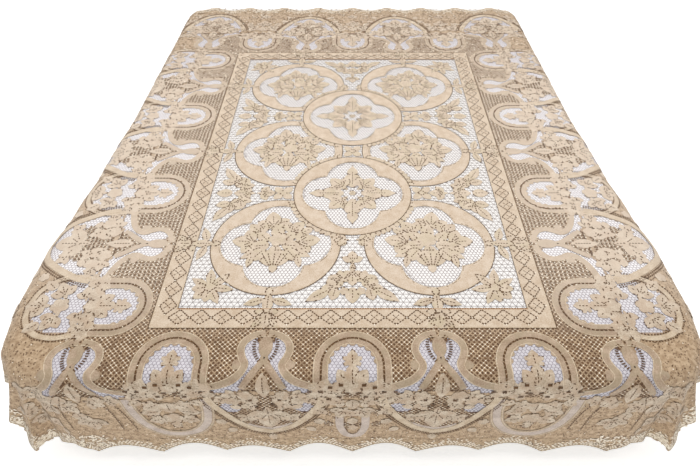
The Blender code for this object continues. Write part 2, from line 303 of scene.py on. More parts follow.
CORD_COLUMNS = ((0.0, 0.0), (0.5, 1.0), (1.0, 0.0))


def add_cord(layer, path, width, lift, kept=None):
    side = square_to(path) * width / 2
    columns = [(share, rise * width * 0.45) for share, rise in CORD_COLUMNS]
    add_band(layer, path + side, path - side, lift, columns, kept)


def closed_path(path):
    return np.vstack([path, path[:1]])


# %% [markdown]
# Slits are the small openings that outline every petal. Through them the eye sees the shade under
# the cloth. A real gap of 1 mm is finer than the picture can show, so each slit is drawn as a
# short patch of painted shade a little wider than the gap, lying just over the close stitch.

# %% Slits and straight strands
SLIT_LENGTH = 0.0050
SLIT_WIDTH = 0.0022


def along_path(path, spacing):
    """Evenly spaced points along a path, with unit directions ahead."""
    steps = np.linalg.norm(np.diff(path, axis=0), axis=1)
    run = np.concatenate([[0], np.cumsum(steps)])
    count = max(int(run[-1] / spacing), 1)
    at = (np.arange(count) + 0.5) * run[-1] / count
    points = np.column_stack([np.interp(at, run, path[:, axis]) for axis in (0, 1)])
    ends = np.column_stack([np.interp(at + 1e-4, run, path[:, axis]) for axis in (0, 1)])
    starts = np.column_stack([np.interp(at - 1e-4, run, path[:, axis]) for axis in (0, 1)])
    ahead = ends - starts
    return points, ahead / (np.linalg.norm(ahead, axis=1)[:, None] + 1e-12)


def add_patches(layer, points, ahead, length, width, lift):
    """Small flat quads, each centred on a point and turned to its direction."""
    side = np.column_stack([-ahead[:, 1], ahead[:, 0]]) * width / 2
    reach = ahead * length / 2
    corners = np.stack([points - reach - side, points + reach - side,
                        points + reach + side, points - reach + side], 1)
    layer.add(corners.reshape(-1, 2), lift, np.arange(len(points) * 4).reshape(-1, 4))


def add_slits(path, lift, spacing, length=SLIT_LENGTH, width=SLIT_WIDTH, share=1.0):
    """Slits along a path, or a random share of them."""
    points, ahead = along_path(path, spacing)
    if share < 1:
        kept = chance.random(len(points)) < share
        points, ahead = points[kept], ahead[kept]
    if len(points):
        add_patches(slits, points, ahead, length, width, lift)


def add_strands(layer, starts, ends, width, low, high):
    """Thin roofs from each start to its end, for the threads of a net."""
    ahead = ends - starts
    ahead /= np.linalg.norm(ahead, axis=1)[:, None]
    side = np.column_stack([-ahead[:, 1], ahead[:, 0]]) * width / 2
    corners = np.stack([starts - side, starts, starts + side, ends - side, ends, ends + side], 1)
    rises = np.tile([low, high, low, low, high, low], len(starts))
    first = np.arange(len(starts))[:, None] * 6
    faces = np.concatenate([first + [0, 3, 4, 1], first + [1, 4, 5, 2]])
    layer.add(corners.reshape(-1, 2), rises, faces)


slits = Layer("openwork_slits")
chance = np.random.default_rng(7)
print("slits", SLIT_LENGTH * 1000, "by", SLIT_WIDTH * 1000, "mm")

# %% [markdown]
# ## A map of what covers what
# A net thread under a woven leaf is hidden, so it needs no mesh. A coarse map of the flat cloth,
# one cell for each 2 mm, notes where close stitch lies and which ground fills each zone. Another
# map holds the number of the last plate laid over each cell, which tells later which slits a newer
# plate hides. The maps only leave faces out; nothing is drawn from them.

# %% Maps of the flat cloth
MAP_STEP = 0.002
map_u = np.arange(-HALF_U, HALF_U + MAP_STEP, MAP_STEP)
map_v = np.arange(-HALF_V, HALF_V + MAP_STEP, MAP_STEP)
MAP_U, MAP_V = np.meshgrid(map_u, map_v, indexing="ij")
outward_map = np.maximum(abs(MAP_U) - RIBBON_HALF_U, abs(MAP_V) - RIBBON_HALF_V)


def blank_map():
    return np.zeros(MAP_U.shape, bool)


def paint(sheet_map, outline, value=True):
    """Marks the cells whose centres lie inside a closed outline."""
    low = np.floor((outline.min(0) + (HALF_U, HALF_V)) / MAP_STEP).astype(int)
    high = np.ceil((outline.max(0) + (HALF_U, HALF_V)) / MAP_STEP).astype(int) + 1
    low, high = np.maximum(low, 0), np.minimum(high, sheet_map.shape)
    area = (slice(low[0], high[0]), slice(low[1], high[1]))
    u, v = MAP_U[area], MAP_V[area]
    odd = np.zeros(u.shape, bool)
    for first, second in zip(outline, np.roll(outline, -1, 0)):
        if first[1] == second[1]:
            continue
        meets = (first[1] > v) != (second[1] > v)
        slope = (second[0] - first[0]) / (second[1] - first[1])
        odd ^= meets & (u < first[0] + (v - first[1]) * slope)
    sheet_map[area] = np.where(odd, value, sheet_map[area])


def on_map(sheet_map, points):
    index = np.round((points + (HALF_U, HALF_V)) / MAP_STEP).astype(int)
    index = np.clip(index, 0, np.array(sheet_map.shape) - 1)
    return sheet_map[index[:, 0], index[:, 1]]


def grown(sheet_map, distance):
    """The map with its marks spread by a distance, or drawn in if it is negative."""
    spread = sheet_map if distance > 0 else ~sheet_map
    for _ in range(round(abs(distance) / MAP_STEP)):
        wider = spread.copy()
        wider[1:] |= spread[:-1]
        wider[:-1] |= spread[1:]
        wider[:, 1:] |= spread[:, :-1]
        wider[:, :-1] |= spread[:, 1:]
        spread = wider
    return spread if distance > 0 else ~spread


covered = blank_map()
plate_order = np.zeros(MAP_U.shape, int)
net_windows = blank_map()
# Where the trellis lies over painted shade among the motifs of the border
dark_patches = blank_map()
print("map of", covered.shape, "cells")

# %% [markdown]
# ## Leaves and flowers
# The leaves are plain kinds that lacemakers have always used: a pointed leaf, a trefoil, a leaf
# of five lobes and a bud. Each is half an outline, mirrored, then turned and sized where it
# grows. A flower is a circle whose radius swells once for each petal.

# %% Leaf kinds
# Half outlines of a leaf 1 long that points along x: distance along, half width
LEAF_KINDS = {
    "spear": (
        (0, 0.05), (0.08, 0.12), (0.18, 0.16), (0.28, 0.22), (0.42, 0.24), (0.53, 0.19),
        (0.58, 0.12), (0.67, 0.16), (0.78, 0.14), (0.91, 0.05),
    ),
    "pointed": ((0, 0.03), (0.15, 0.13), (0.35, 0.21), (0.55, 0.21), (0.75, 0.14), (0.9, 0.06)),
    "bud": ((0, 0.10), (0.12, 0.27), (0.35, 0.38), (0.6, 0.36), (0.82, 0.22), (0.95, 0.08)),
    "trefoil": (
        (0, 0.05), (0.12, 0.13), (0.20, 0.30), (0.33, 0.41), (0.46, 0.36),
        (0.50, 0.22), (0.60, 0.27), (0.74, 0.25), (0.88, 0.12),
    ),
    "maple": (
        (0, 0.06), (0.05, 0.24), (0.02, 0.42), (0.20, 0.47), (0.30, 0.34), (0.38, 0.50),
        (0.56, 0.50), (0.60, 0.27), (0.72, 0.27), (0.86, 0.14),
    ),
}


def leaf_outline(kind, length):
    half = np.array(LEAF_KINDS[kind]) * length
    return np.vstack([half * (1, -1), [(length, 0)], half[::-1]])


def flower_outline(radius, petals, depth=0.22, count=6):
    angles = np.arange(petals * count) / (petals * count) * 2 * math.pi
    radii = radius * (1 - depth + depth * abs(np.cos(angles * petals / 2)) ** 0.7)
    return np.column_stack([np.cos(angles), np.sin(angles)]) * radii[:, None]


def turned(points, degrees):
    angle = math.radians(degrees)
    spin = np.array(((math.cos(angle), math.sin(angle)), (-math.sin(angle), math.cos(angle))))
    return np.asarray(points, float) @ spin


def arc(centre, radius, start, end, count=40):
    """Points of an arc, with angles in degrees."""
    angles = np.radians(np.linspace(start, end, count))
    return np.column_stack([np.cos(angles), np.sin(angles)]) * radius + centre


# %% [markdown]
# A motif is written once, in its own two directions: across, and outward from its root. A place
# on the cloth turns those into flat coordinates, so an arch at the foot and one at the side are
# the same drawing. The slits of plates are gathered in a list, and laid when every plate is there.

# %% Draw in a motif's own directions
# Share of the places on a plate's outline that get a slit: over close stitch in the panel, over
# close stitch in the border, and over net
PANEL_SLITS, BORDER_SLITS, FREE_SLITS = 0.65, 0.24, 0.16
# Spacing in slit lengths: round a plate, on a leaf's rib, between lobes, in a flower's eye
OUTLINE_EVERY, RIB_EVERY, PARTING_EVERY, EYE_EVERY = 1.6, 1.5, 1.2, 0.9
PANEL_SLIT_WIDTH = 0.0032
SLIT_OVER = 0.0008
LIFT_VARIES = 0.00025
RIBBED_FROM = 0.035
# Where a rib and a parting start and end, as shares of the leaf's length
RIB, PARTING = ((0.12, 0), (0.70, 0)), ((0.08, 0), (0.30, 0))
# A clover's lobes: turn from the stalk in degrees and share of the length
CLOVER_LOBES = ((64, 0.60), (-64, 0.60), (0, 0.70))
CLOVER_PARTING = 34
CLOVER_STALK, CLOVER_HEART = 0.45, 0.30
EYE_RADIUS = 0.26
EYE_SLIT = (0.0026, 0.0016)
plate_slits = []


class Spot:
    """A root on the flat cloth and the way its motif points."""

    def __init__(self, place, out, layer, lift):
        self.place, self.out = np.array(place, float), np.array(out, float)
        self.across = np.array((-self.out[1], self.out[0]))
        self.layer, self.lift = layer, lift
        self.meeting = BORDER_SLITS if layer and layer.name.startswith("border") else PANEL_SLITS

    def flat(self, points):
        points = np.asarray(points, float)
        return self.place + points[:, :1] * self.across + points[:, 1:] * self.out

    def plate(self, points, lift=0.0, slitted=True):
        """A plate, with slits where it meets close stitch and a few where it meets net."""
        outline = self.flat(points)
        lift += self.lift + chance.random() * LIFT_VARIES
        add_plate(self.layer, outline, lift)
        paint(plate_order, outline, len(plate_slits) + 1)
        places, ahead = along_path(closed_path(outline), SLIT_LENGTH * OUTLINE_EVERY)
        share = np.where(on_map(covered, places), self.meeting, FREE_SLITS) if slitted else 0
        kept = chance.random(len(places)) < share
        width = SLIT_WIDTH if self.meeting == BORDER_SLITS else PANEL_SLIT_WIDTH
        plate_slits.append((places[kept], ahead[kept], width, lift + SLIT_OVER))
        paint(covered, outline)

    def leaf(self, kind, across, outward, degrees, length):
        outline = turned(leaf_outline(kind, length), degrees) + (across, outward)
        self.plate(outline)
        if length > RIBBED_FROM:
            rib = turned(np.array(RIB) * length, degrees) + (across, outward)
            places, ahead = along_path(self.flat(rib), SLIT_LENGTH * RIB_EVERY)
            plate_slits.append((places, ahead, SLIT_WIDTH, self.lift + SLIT_OVER))

    def clover(self, across, outward, degrees, length):
        """Three round lobes on a short stalk, with slits where they part."""
        way = np.array((math.cos(math.radians(degrees)), math.sin(math.radians(degrees))))
        heart = np.array((across, outward)) + way * length * CLOVER_HEART
        self.leaf("pointed", across, outward, degrees, length * CLOVER_STALK)
        for turn, size in CLOVER_LOBES:
            self.leaf("bud", heart[0], heart[1], degrees + turn, length * size)
        for turn in (CLOVER_PARTING, -CLOVER_PARTING):
            parting = turned(np.array(PARTING) * length, degrees + turn) + heart
            places, ahead = along_path(self.flat(parting), SLIT_LENGTH * PARTING_EVERY)
            plate_slits.append((places, ahead, SLIT_WIDTH, self.lift + 2 * SLIT_OVER))

    def flower(self, across, outward, radius, petals=5):
        self.plate(flower_outline(radius, petals) + (across, outward))
        if self.meeting == PANEL_SLITS and petals > 5:
            eye = self.flat(arc((across, outward), radius * EYE_RADIUS, 0, 360, 12))
            add_slits(eye, self.lift + SLIT_OVER, SLIT_LENGTH * EYE_EVERY, *EYE_SLIT)

    def spray(self, rows, sides=(1, -1)):
        """Rows of kind, across, outward, degrees and length, mirrored on side -1.

        A row that stands straight on the middle line is drawn once.
        """
        for kind, across, outward, degrees, length in rows:
            for side in sides if across or degrees % 180 != 90 else sides[:1]:
                self.one(kind, across * side, outward, degrees if side > 0 else 180 - degrees, length)

    def one(self, kind, across, outward, degrees, length):
        if kind == "flower":
            self.flower(across, outward, length)
        elif kind == "clover":
            self.clover(across, outward, degrees, length)
        else:
            self.leaf(kind, across, outward, degrees, length)

    def band(self, path, width, lift=0.0, columns=BAND_COLUMNS):
        path = np.asarray(path, float)
        side = square_to(path) * width / 2
        left, right = self.flat(path + side), self.flat(path - side)
        add_band(self.layer, left, right, self.lift + lift, columns)
        paint(covered, np.vstack([left, right[::-1]]))


def smooth(points, parts=6):
    """A Catmull-Rom curve through a few points."""
    points = np.asarray(points, float)
    held = np.vstack([2 * points[0] - points[1], points, 2 * points[-1] - points[-2]])
    t = np.linspace(0, 1, parts, endpoint=False)[:, None]
    pieces = []
    for a, b, c, d in zip(held, held[1:], held[2:], held[3:]):
        pieces.append(0.5 * (2 * b + (c - a) * t + (2 * a - 5 * b + 4 * c - d) * t ** 2
                             + (3 * b - a - 3 * c + d) * t ** 3))
    return np.vstack(pieces + [points[-1:]])


# %% [markdown]
# ## Rings of the panel
# Two full circles and six medallions fill the panel. Each is a broad band whose opening has four
# lobes, made by four overlapping circles. The two circles lie over the medallions, so medallion
# faces inside a circle are left out.

# %% Rings
RING_RADIUS = 0.177
LOBE_CENTRE = 0.0730
LOBE_RADIUS = 0.0820
RING_STEPS = 192
circles = [(0.0, end * REPEAT / 2) for end in (-1, 1)]
medallions = [(side * REPEAT / 2, row * REPEAT) for side in (-1, 1) for row in (-1, 0, 1)]
ring_layer = Layer("ring_bands")
leaf_layer = Layer("panel_leaves")
cord_layer = Layer("outline_cords")
ring_openings = blank_map()
RING_LIFT = 0.0001
CIRCLE_OVER = 0.0004
RING_LAP = 0.002
OUTER_CORD, INNER_CORD = 0.0035, 0.0030
# Slits beside the two edges: how much wider than the edge their path is, and their spacing in
# slit lengths; then for each edge their width in m and the share that stays
SLIT_PATH, RING_EVERY = 1.016, 1.15
INNER_SLITS, OUTER_SLITS = (0.0012, 0.5), (0.0024, 0.95)


def lobed_opening(angles):
    """Distance of the opening's edge from the middle at each angle."""
    off = (angles + math.pi / 4) % (math.pi / 2) - math.pi / 4
    return LOBE_CENTRE * np.cos(off) + np.sqrt(LOBE_RADIUS ** 2 - (LOBE_CENTRE * np.sin(off)) ** 2)


def outside_circles(points):
    return np.all([np.hypot(*(points - c).T) > RING_RADIUS - RING_LAP for c in circles], axis=0)


def anywhere(points):
    return np.ones(len(points), bool)


def make_ring(centre, lift, kept):
    angles = np.linspace(0, 2 * math.pi, RING_STEPS + 1)
    ways = np.column_stack([np.cos(angles), np.sin(angles)])
    inner = centre + ways * lobed_opening(angles)[:, None]
    outer = centre + ways * RING_RADIUS
    add_band(ring_layer, inner, outer, lift, kept=kept)
    for edge, (width, share) in ((inner, INNER_SLITS), (outer, OUTER_SLITS)):
        path = centre + (edge - centre) * SLIT_PATH
        points, ahead = along_path(path, SLIT_LENGTH * RING_EVERY)
        stays = kept(points) & (chance.random(len(points)) < share)
        add_patches(slits, points[stays], ahead[stays], SLIT_LENGTH, width, lift + SLIT_OVER)
    add_cord(cord_layer, outer, OUTER_CORD, lift, kept)
    add_cord(cord_layer, inner, INNER_CORD, lift, kept)
    paint(ring_openings, inner)
    ring_map = blank_map()
    paint(ring_map, outer)
    paint(ring_map, inner, False)
    cells = np.column_stack([MAP_U.ravel(), MAP_V.ravel()])
    covered[ring_map & kept(cells).reshape(covered.shape)] = True


for centre in medallions:
    make_ring(np.array(centre), RING_LIFT, outside_circles)
for centre in circles:
    make_ring(np.array(centre), RING_LIFT + CIRCLE_OVER, anywhere)
print(len(circles) + len(medallions), "rings")

# %% [markdown]
# ## Flowers in the rings
# A circle holds a large flower: four big leaves on its axes, four smaller between them, and a
# rosette on a disc of net. A medallion holds a bouquet in a ribbed basket. A fringe of small
# leaves runs along each circle where a medallion passes under it.

# %% Flowers in the rings
LEAF_LIFT = 0.0004
# One side is fuller than the other, and the bouquets of the two columns mirror each other
BOUQUET = (
    ("clover", 0.008, 0.036, 82, 0.074),
    ("clover", -0.022, 0.026, 130, 0.062),
    ("clover", -0.034, 0.002, 170, 0.072),
    ("clover", 0.028, 0.024, 44, 0.058),
    ("clover", 0.036, 0.004, 4, 0.070),
    ("pointed", -0.030, -0.016, 206, 0.060),
    ("pointed", 0.034, -0.018, -34, 0.054),
    ("bud", -0.060, 0.036, 146, 0.030),
    ("bud", 0.000, 0.018, 92, 0.044),
    ("bud", -0.018, 0.008, 128, 0.040),
    ("bud", 0.020, 0.008, 50, 0.040),
    ("bud", -0.014, -0.004, 186, 0.046),
    ("bud", 0.016, -0.004, -8, 0.046),
    ("bud", 0.0, -0.006, -90, 0.040),
    ("flower", -0.004, 0.014, 0, 0.024),
)
BOUQUET_SCALE = 1.17
# The basket: half of an oval, whose rim rises by some degrees at both ends, and ribs that gather
# at its foot
BASKET_CENTRE = (0.0, -0.035)
BASKET_RADII = (0.047, 0.049)
BASKET_RIM = 12
BASKET_RIBS = (-0.035, -0.018, 0.0, 0.018, 0.035)
RIB_TOP, RIB_FOOT, RIB_GATHER = -0.036, -0.082, 0.3
BASKET_LEAVES = (
    ("bud", 0.026, -0.018, -52, 0.046),
    ("bud", -0.026, -0.018, 232, 0.046),
    ("pointed", 0.052, -0.036, -78, 0.040),
    ("pointed", -0.052, -0.036, 258, 0.040),
    ("bud", 0.0, -0.064, -90, 0.026),
)
CIRCLE_SPEAR = (0, 0.027, 90, 0.108)
CIRCLE_CLOVER = (0, 0.022, 90, 0.076)
CIRCLE_ROSETTE = (0, 0, 0.011, 6)
NOTCH = ((0.006, 0.088), (0.019, 0.091))
RUNG = ((-0.013, 0.030), (0.013, 0.030))
# Slits: spacing, length and width in m
NOTCH_SLITS = (0.0060, SLIT_LENGTH, SLIT_WIDTH)
RUNG_SLITS = (0.0060, 0.0046, 0.0026)
BASKET_SLITS = (0.0080, SLIT_LENGTH, 0.0026)
# The fringe: leaves on each side of a quarter's middle, degrees between them and their lean
FRINGE_LEAVES, FRINGE_STEP, FRINGE_LEAN = 6, 5.0, 40
FRINGE_RADIUS = RING_RADIUS + 0.003
FRINGE_LEAF = 0.021
LEAF_SLITS_LIFT = LEAF_LIFT + 2 * SLIT_OVER


def scaled(rows, share):
    return [(kind, x * share, y * share, degrees, size * share) for kind, x, y, degrees, size in rows]


def turned_spot(place, degrees):
    """A root in the panel whose motif points along v, turned by some degrees."""
    return Spot(place, turned([(0, 1)], degrees)[0], leaf_layer, LEAF_LIFT)


for place in circles:
    for quarter in range(4):
        spot = turned_spot(place, quarter * 90)
        spot.leaf("spear", *CIRCLE_SPEAR)
        for side in (1, -1):
            add_slits(spot.flat(np.array(NOTCH) * (side, 1)), LEAF_SLITS_LIFT, *NOTCH_SLITS)
        spot = turned_spot(place, quarter * 90 + 45)
        spot.clover(*CIRCLE_CLOVER)
        add_slits(spot.flat(RUNG), LEAF_SLITS_LIFT, *RUNG_SLITS)
        for step in range(-FRINGE_LEAVES, FRINGE_LEAVES + 1):
            degrees = 90 + step * FRINGE_STEP
            way = math.radians(degrees)
            root = (math.cos(way) * FRINGE_RADIUS, math.sin(way) * FRINGE_RADIUS)
            spot.leaf("bud", *root, degrees + FRINGE_LEAN, FRINGE_LEAF)
    turned_spot(place, 0).flower(*CIRCLE_ROSETTE)
for side, row in medallions:
    spot = turned_spot((side, row), 0)
    fuller_side = (math.copysign(1, -side),)
    spot.spray(scaled(BOUQUET, BOUQUET_SCALE), fuller_side)
    spot.plate(arc((0, 0), 1.0, 180 - BASKET_RIM, 360 + BASKET_RIM, 25) * BASKET_RADII + BASKET_CENTRE)
    for across in BASKET_RIBS:
        rib = ((across * RIB_GATHER, RIB_FOOT), (across, RIB_TOP))
        add_slits(spot.flat(rib), LEAF_SLITS_LIFT, *BASKET_SLITS)
    spot.spray(scaled(BASKET_LEAVES, BOUQUET_SCALE), fuller_side)
print("panel leaves", leaf_layer.triangles(), "triangles so far")

# %% [markdown]
# ## Sprays between the rings
# The corners of net between the rings and the ribbon hold sprays that grow in from the ribbon,
# and small knots tie neighbouring rings together.

# %% Sprays and knots
GAP_SPRAY = (
    ("clover", 0.0, 0.132, 90, 0.048),
    ("pointed", 0.0, 0.140, -90, 0.034),
    ("clover", 0.0, 0.126, -90, 0.058),
    ("bud", 0.0, 0.062, -90, 0.046),
    ("clover", 0.010, 0.082, 14, 0.052),
    ("clover", 0.026, 0.068, -14, 0.052),
    ("pointed", 0.052, 0.058, -32, 0.068),
    ("bud", 0.040, 0.060, -76, 0.036),
    ("flower", 0.020, 0.052, 0, 0.012),
)
CORNER_SPRAY = (
    ("pointed", 0.0, 0.100, 90, 0.058),
    ("pointed", 0.004, 0.100, 38, 0.058),
    ("pointed", 0.004, 0.094, -14, 0.056),
    ("bud", 0.0, 0.088, -90, 0.042),
    ("bud", 0.006, 0.090, -52, 0.038),
    ("flower", 0.0, 0.096, 0, 0.014),
)
SIDE_SPRAY = (
    ("clover", 0.0, 0.116, 90, 0.048),
    ("clover", 0.0, 0.112, -90, 0.054),
    ("bud", 0.0, 0.054, -90, 0.040),
    ("clover", 0.010, 0.074, 14, 0.050),
    ("clover", 0.026, 0.062, -12, 0.050),
    ("pointed", 0.050, 0.054, -32, 0.060),
    ("bud", 0.038, 0.054, -76, 0.034),
)
GAP_SCALE, SIDE_SCALE = 1.08, 1.22
for end in (-1, 1):
    Spot((0, end * PANEL_HALF_V), (0, -end), leaf_layer, LEAF_LIFT).spray(scaled(GAP_SPRAY, GAP_SCALE))
    for side in (-1, 1):
        middle = (side * PANEL_HALF_U, end * REPEAT / 2)
        Spot(middle, (-side, 0), leaf_layer, LEAF_LIFT).spray(scaled(SIDE_SPRAY, SIDE_SCALE))
        way = np.array((-side, -end)) / math.sqrt(2)
        corner = (side * PANEL_HALF_U, end * PANEL_HALF_V)
        Spot(corner, way, leaf_layer, LEAF_LIFT).spray(CORNER_SPRAY)
KNOT_PETAL = (0, 0.004, 90, 0.034)
KNOT_ROSETTE = (0, 0, 0.010, 4)
KNOT_LIFT = LEAF_LIFT + 0.0004
knots = [(0, 0)]
knots += [(side * REPEAT / 2, end * REPEAT / 2) for side in (-1, 1) for end in (-1, 1)]
for place in knots:
    for quarter in range(4):
        turned_spot(place, quarter * 90 + 45).leaf("bud", *KNOT_PETAL)
    Spot(place, (0, 1), leaf_layer, KNOT_LIFT).flower(*KNOT_ROSETTE)
PAIR_KNOT = (("clover", 0.010, 0.016, -8, 0.042), ("bud", 0.026, 0.014, -60, 0.026))
for end in (-1, 1):
    Spot((0, end * REPEAT), (0, -end), leaf_layer, LEAF_LIFT).spray(PAIR_KNOT)
print("panel leaves", leaf_layer.triangles(), "triangles")

# %% [markdown]
# ## The ribbon of diamonds
# A flat braid frames the panel. Its two edges are raised, and a row of diamonds runs along it,
# each with a four-petalled flower outlined by slits. At the two short sides the braid is turned
# over on itself, and the fold shows as a thin tan line.

# %% Ribbon
DIAMOND_PITCH = REPEAT / 8
DIAMOND_LONG = 0.0262
DIAMOND_IN = 0.0235
DIAMOND_OUT = 0.0200
DIAMOND_FROM_EDGE = 0.0285
RIBBON_LIFT = 0.0003
# How many diamonds lie on each side of the middle one
DIAMONDS_ACROSS, DIAMONDS_ALONG = 8, 12
# Turn in degrees and size of each petal, and where its root and the gap beside it lie
PETALS = ((0, 0.0195), (90, 0.0150), (180, 0.0195), (270, 0.0165))
PETAL_ROOT = (0.0022, 0)
PETAL_GAP = ((0.0040, 0), (0.0112, 0))
PETAL_OVER = 0.0003
MIDDLE_HOLE = ((-0.001, 0), (0.001, 0))
# Cream spots of painted highlight at three tips of each diamond, and their size in m
TIP_HIGHLIGHTS = ((DIAMOND_LONG, 0.001), (0, DIAMOND_OUT + 0.0015), (0, -DIAMOND_IN))
TIP_HIGHLIGHT_SIZE = 0.0034
# Slits: spacing, length and width in m
DIAMOND_SLITS = (0.0068, 0.0050, 0.0031)
GAP_SLITS = (0.0100, 0.0064, 0.0028)
MIDDLE_SLITS = (0.0100, 0.0030, 0.0030)
# Slits along the braid: distance in from its outer edge and width in m; spacing in slit lengths
BRAID_SLITS = ((-0.0024, 0.0024), (RIBBON_WIDTH + 0.0022, 0.0016))
BRAID_EVERY = 1.3
BRAID_CORD = 0.0040
FOLD_CORD, FOLD_OVER, FOLD_POINTS = 0.0030, 0.0006, 81
ribbon_layer = Layer("ribbon_band")
RIBBON_COLUMNS = (
    (0.0, 0.0), (0.03, 0.0009), (0.08, 0.0002), (0.92, 0.0002), (0.97, 0.0009), (1.0, 0.0),
)


def rectangle(half_u, half_v, step=0.02):
    """A closed rectangle as evenly spaced points, the same count for any size."""
    count_u, count_v = round(2 * RIBBON_HALF_U / step), round(2 * RIBBON_HALF_V / step)
    u, v = np.linspace(-half_u, half_u, count_u + 1), np.linspace(-half_v, half_v, count_v + 1)
    bottom = np.column_stack([u, np.full(len(u), -half_v)])
    right = np.column_stack([np.full(len(v), half_u), v])
    return np.vstack([bottom[:-1], right[:-1], -bottom[:-1], -right])


inner_edge, outer_edge = rectangle(PANEL_HALF_U, PANEL_HALF_V), rectangle(RIBBON_HALF_U, RIBBON_HALF_V)
add_band(ribbon_layer, inner_edge, outer_edge, RIBBON_LIFT, RIBBON_COLUMNS)
ribbon_map = (outward_map > -RIBBON_WIDTH) & (outward_map < 0)
covered |= ribbon_map
for edge in (inner_edge, outer_edge):
    add_cord(cord_layer, edge, BRAID_CORD, RIBBON_LIFT)
for inset, width in BRAID_SLITS:
    line = rectangle(RIBBON_HALF_U - inset, RIBBON_HALF_V - inset)
    add_slits(line, RIBBON_LIFT + SLIT_OVER, SLIT_LENGTH * BRAID_EVERY, width=width)


def make_diamond(place, out):
    spot = Spot(place, out, ribbon_layer, RIBBON_LIFT + PETAL_OVER)
    over = RIBBON_LIFT + SLIT_OVER
    for side in (1, -1):
        for tip in (-DIAMOND_IN, DIAMOND_OUT):
            add_slits(spot.flat(((DIAMOND_LONG * side, 0), (0, tip))), over, *DIAMOND_SLITS)
    for degrees, size in PETALS:
        spot.plate(turned(leaf_outline("bud", size) + PETAL_ROOT, degrees), slitted=False)
        add_slits(spot.flat(turned(PETAL_GAP, degrees + 45)), over, *GAP_SLITS)
    add_slits(spot.flat(MIDDLE_HOLE), over + SLIT_OVER, *MIDDLE_SLITS)
    level = np.tile(spot.out, (len(TIP_HIGHLIGHTS), 1))
    add_patches(knot_and_highlight_layer, spot.flat(TIP_HIGHLIGHTS), level, TIP_HIGHLIGHT_SIZE, TIP_HIGHLIGHT_SIZE, over)


# Cream knots, most of them painted light as highlights: on the diamonds, the trellis, the grounds and the
# hem
knot_and_highlight_layer, fold_layer = Layer("cream_knots_and_highlights"), Layer("braid_fold")
for end in (-1, 1):
    level = np.linspace(-PANEL_HALF_U, PANEL_HALF_U, FOLD_POINTS)
    edge = np.column_stack([level, np.full(FOLD_POINTS, end * PANEL_HALF_V)])
    add_cord(fold_layer, edge, FOLD_CORD, RIBBON_LIFT + FOLD_OVER)
ribbon_u, ribbon_v = RIBBON_HALF_U - DIAMOND_FROM_EDGE, RIBBON_HALF_V - DIAMOND_FROM_EDGE
for end in (-1, 1):
    for step in range(-DIAMONDS_ACROSS, DIAMONDS_ACROSS + 1):
        make_diamond((step * DIAMOND_PITCH, end * ribbon_v), (0, end))
    for step in range(-DIAMONDS_ALONG, DIAMONDS_ALONG + 1):
        make_diamond((end * ribbon_u, step * DIAMOND_PITCH), (end, 0))
print(4 * (DIAMONDS_ACROSS + DIAMONDS_ALONG + 1), "diamonds,", ribbon_layer.triangles(), "triangles")

# %% [markdown]
# ## Fleurs that cross the ribbon
# Where a medallion meets the ribbon, a bud with side petals lies over the braid and leads the
# eye out to the border.

# %% Fleurs over the ribbon
FLEUR = (
    ("bud", 0.0, -0.098, -90, 0.024),
    ("pointed", 0.0, -0.102, 90, 0.066),
    ("pointed", 0.008, -0.084, 18, 0.056),
    ("bud", 0.0, -0.042, 90, 0.046),
    ("pointed", 0.010, -0.026, 52, 0.036),
    ("bud", 0.008, -0.048, 8, 0.022),
)
FLEUR_LIFT = LEAF_LIFT + 0.0006
for end in (-1, 1):
    for side in (-1, 1):
        root = (side * REPEAT / 2, end * RIBBON_HALF_V)
        Spot(root, (0, end), leaf_layer, FLEUR_LIFT).spray(FLEUR)
    for row in (-1, 0, 1):
        root = (end * RIBBON_HALF_U, row * REPEAT)
        Spot(root, (end, 0), leaf_layer, FLEUR_LIFT).spray(FLEUR)
print("fleurs made")

# %% [markdown]
# ## Arches of the border
# Round arches stand on the ribbon all round. An arch is an outer band, a row of rungs over painted
# shade, an inner band with a lobed edge, and a window of net with leaves. Drawing it once in its own
# directions serves all fourteen.

# %% Arches
ARCH_CENTRE = 0.100
ARCH_OUTER = (0.0890, 0.0735)
ARCH_INNER = (0.0685, 0.0550)
ARCH_FOOT = 0.152
ARCH_WINDOW = 0.058
# The trellis over painted shade where an arch stands between two ogees
ARCH_FLOOR = ((-0.095, 0.148), (0.095, 0.148), (0.080, 0.192), (-0.080, 0.192))
ARCH_CORD, ARCH_CORD_IN, ARCH_CORD_OVER = 0.0026, 0.001, 0.0004
ARCH_LOBES = range(190, 360, 20)
ARCH_LOBE, ARCH_LOBE_FROM = 0.008, 0.0570
RUNG_RADIUS = 0.0711
ARCH_RUNGS = (0.0098, 0.0066, 0.0038)
band_layer = Layer("border_bands")
curve_layer = Layer("border_curves")
low_layer = Layer("half_stitch_bands")
border_leaves = Layer("border_leaves")
BAND_LIFT = 0.0003
SPRAY_LIFT = BAND_LIFT + 0.0003
HANGING_LIFT = BAND_LIFT + 0.0005
ARCH_SPRAY = (
    ("maple", 0.0, 0.104, -90, 0.044),
    ("maple", 0.0, 0.148, -90, 0.052),
    ("bud", 0.012, 0.146, -58, 0.040),
    ("flower", 0.022, 0.144, 0, 0.015),
)
JUNCTION_SPRAY = (
    ("flower", 0.0, 0.162, 0, 0.020),
    ("flower", 0.040, 0.160, 0, 0.021),
    ("clover", 0.048, 0.166, 8, 0.046),
    ("clover", 0.014, 0.180, 12, 0.048),
    ("bud", 0.070, 0.182, 4, 0.034),
    ("flower", 0.062, 0.149, 0, 0.017),
    ("flower", 0.086, 0.155, 0, 0.015),
)
JUNCTION_HOLES = (
    (0.012, 0.174), (0.026, 0.146), (0.050, 0.152), (0.030, 0.190), (0.072, 0.168), (0.098, 0.166),
)


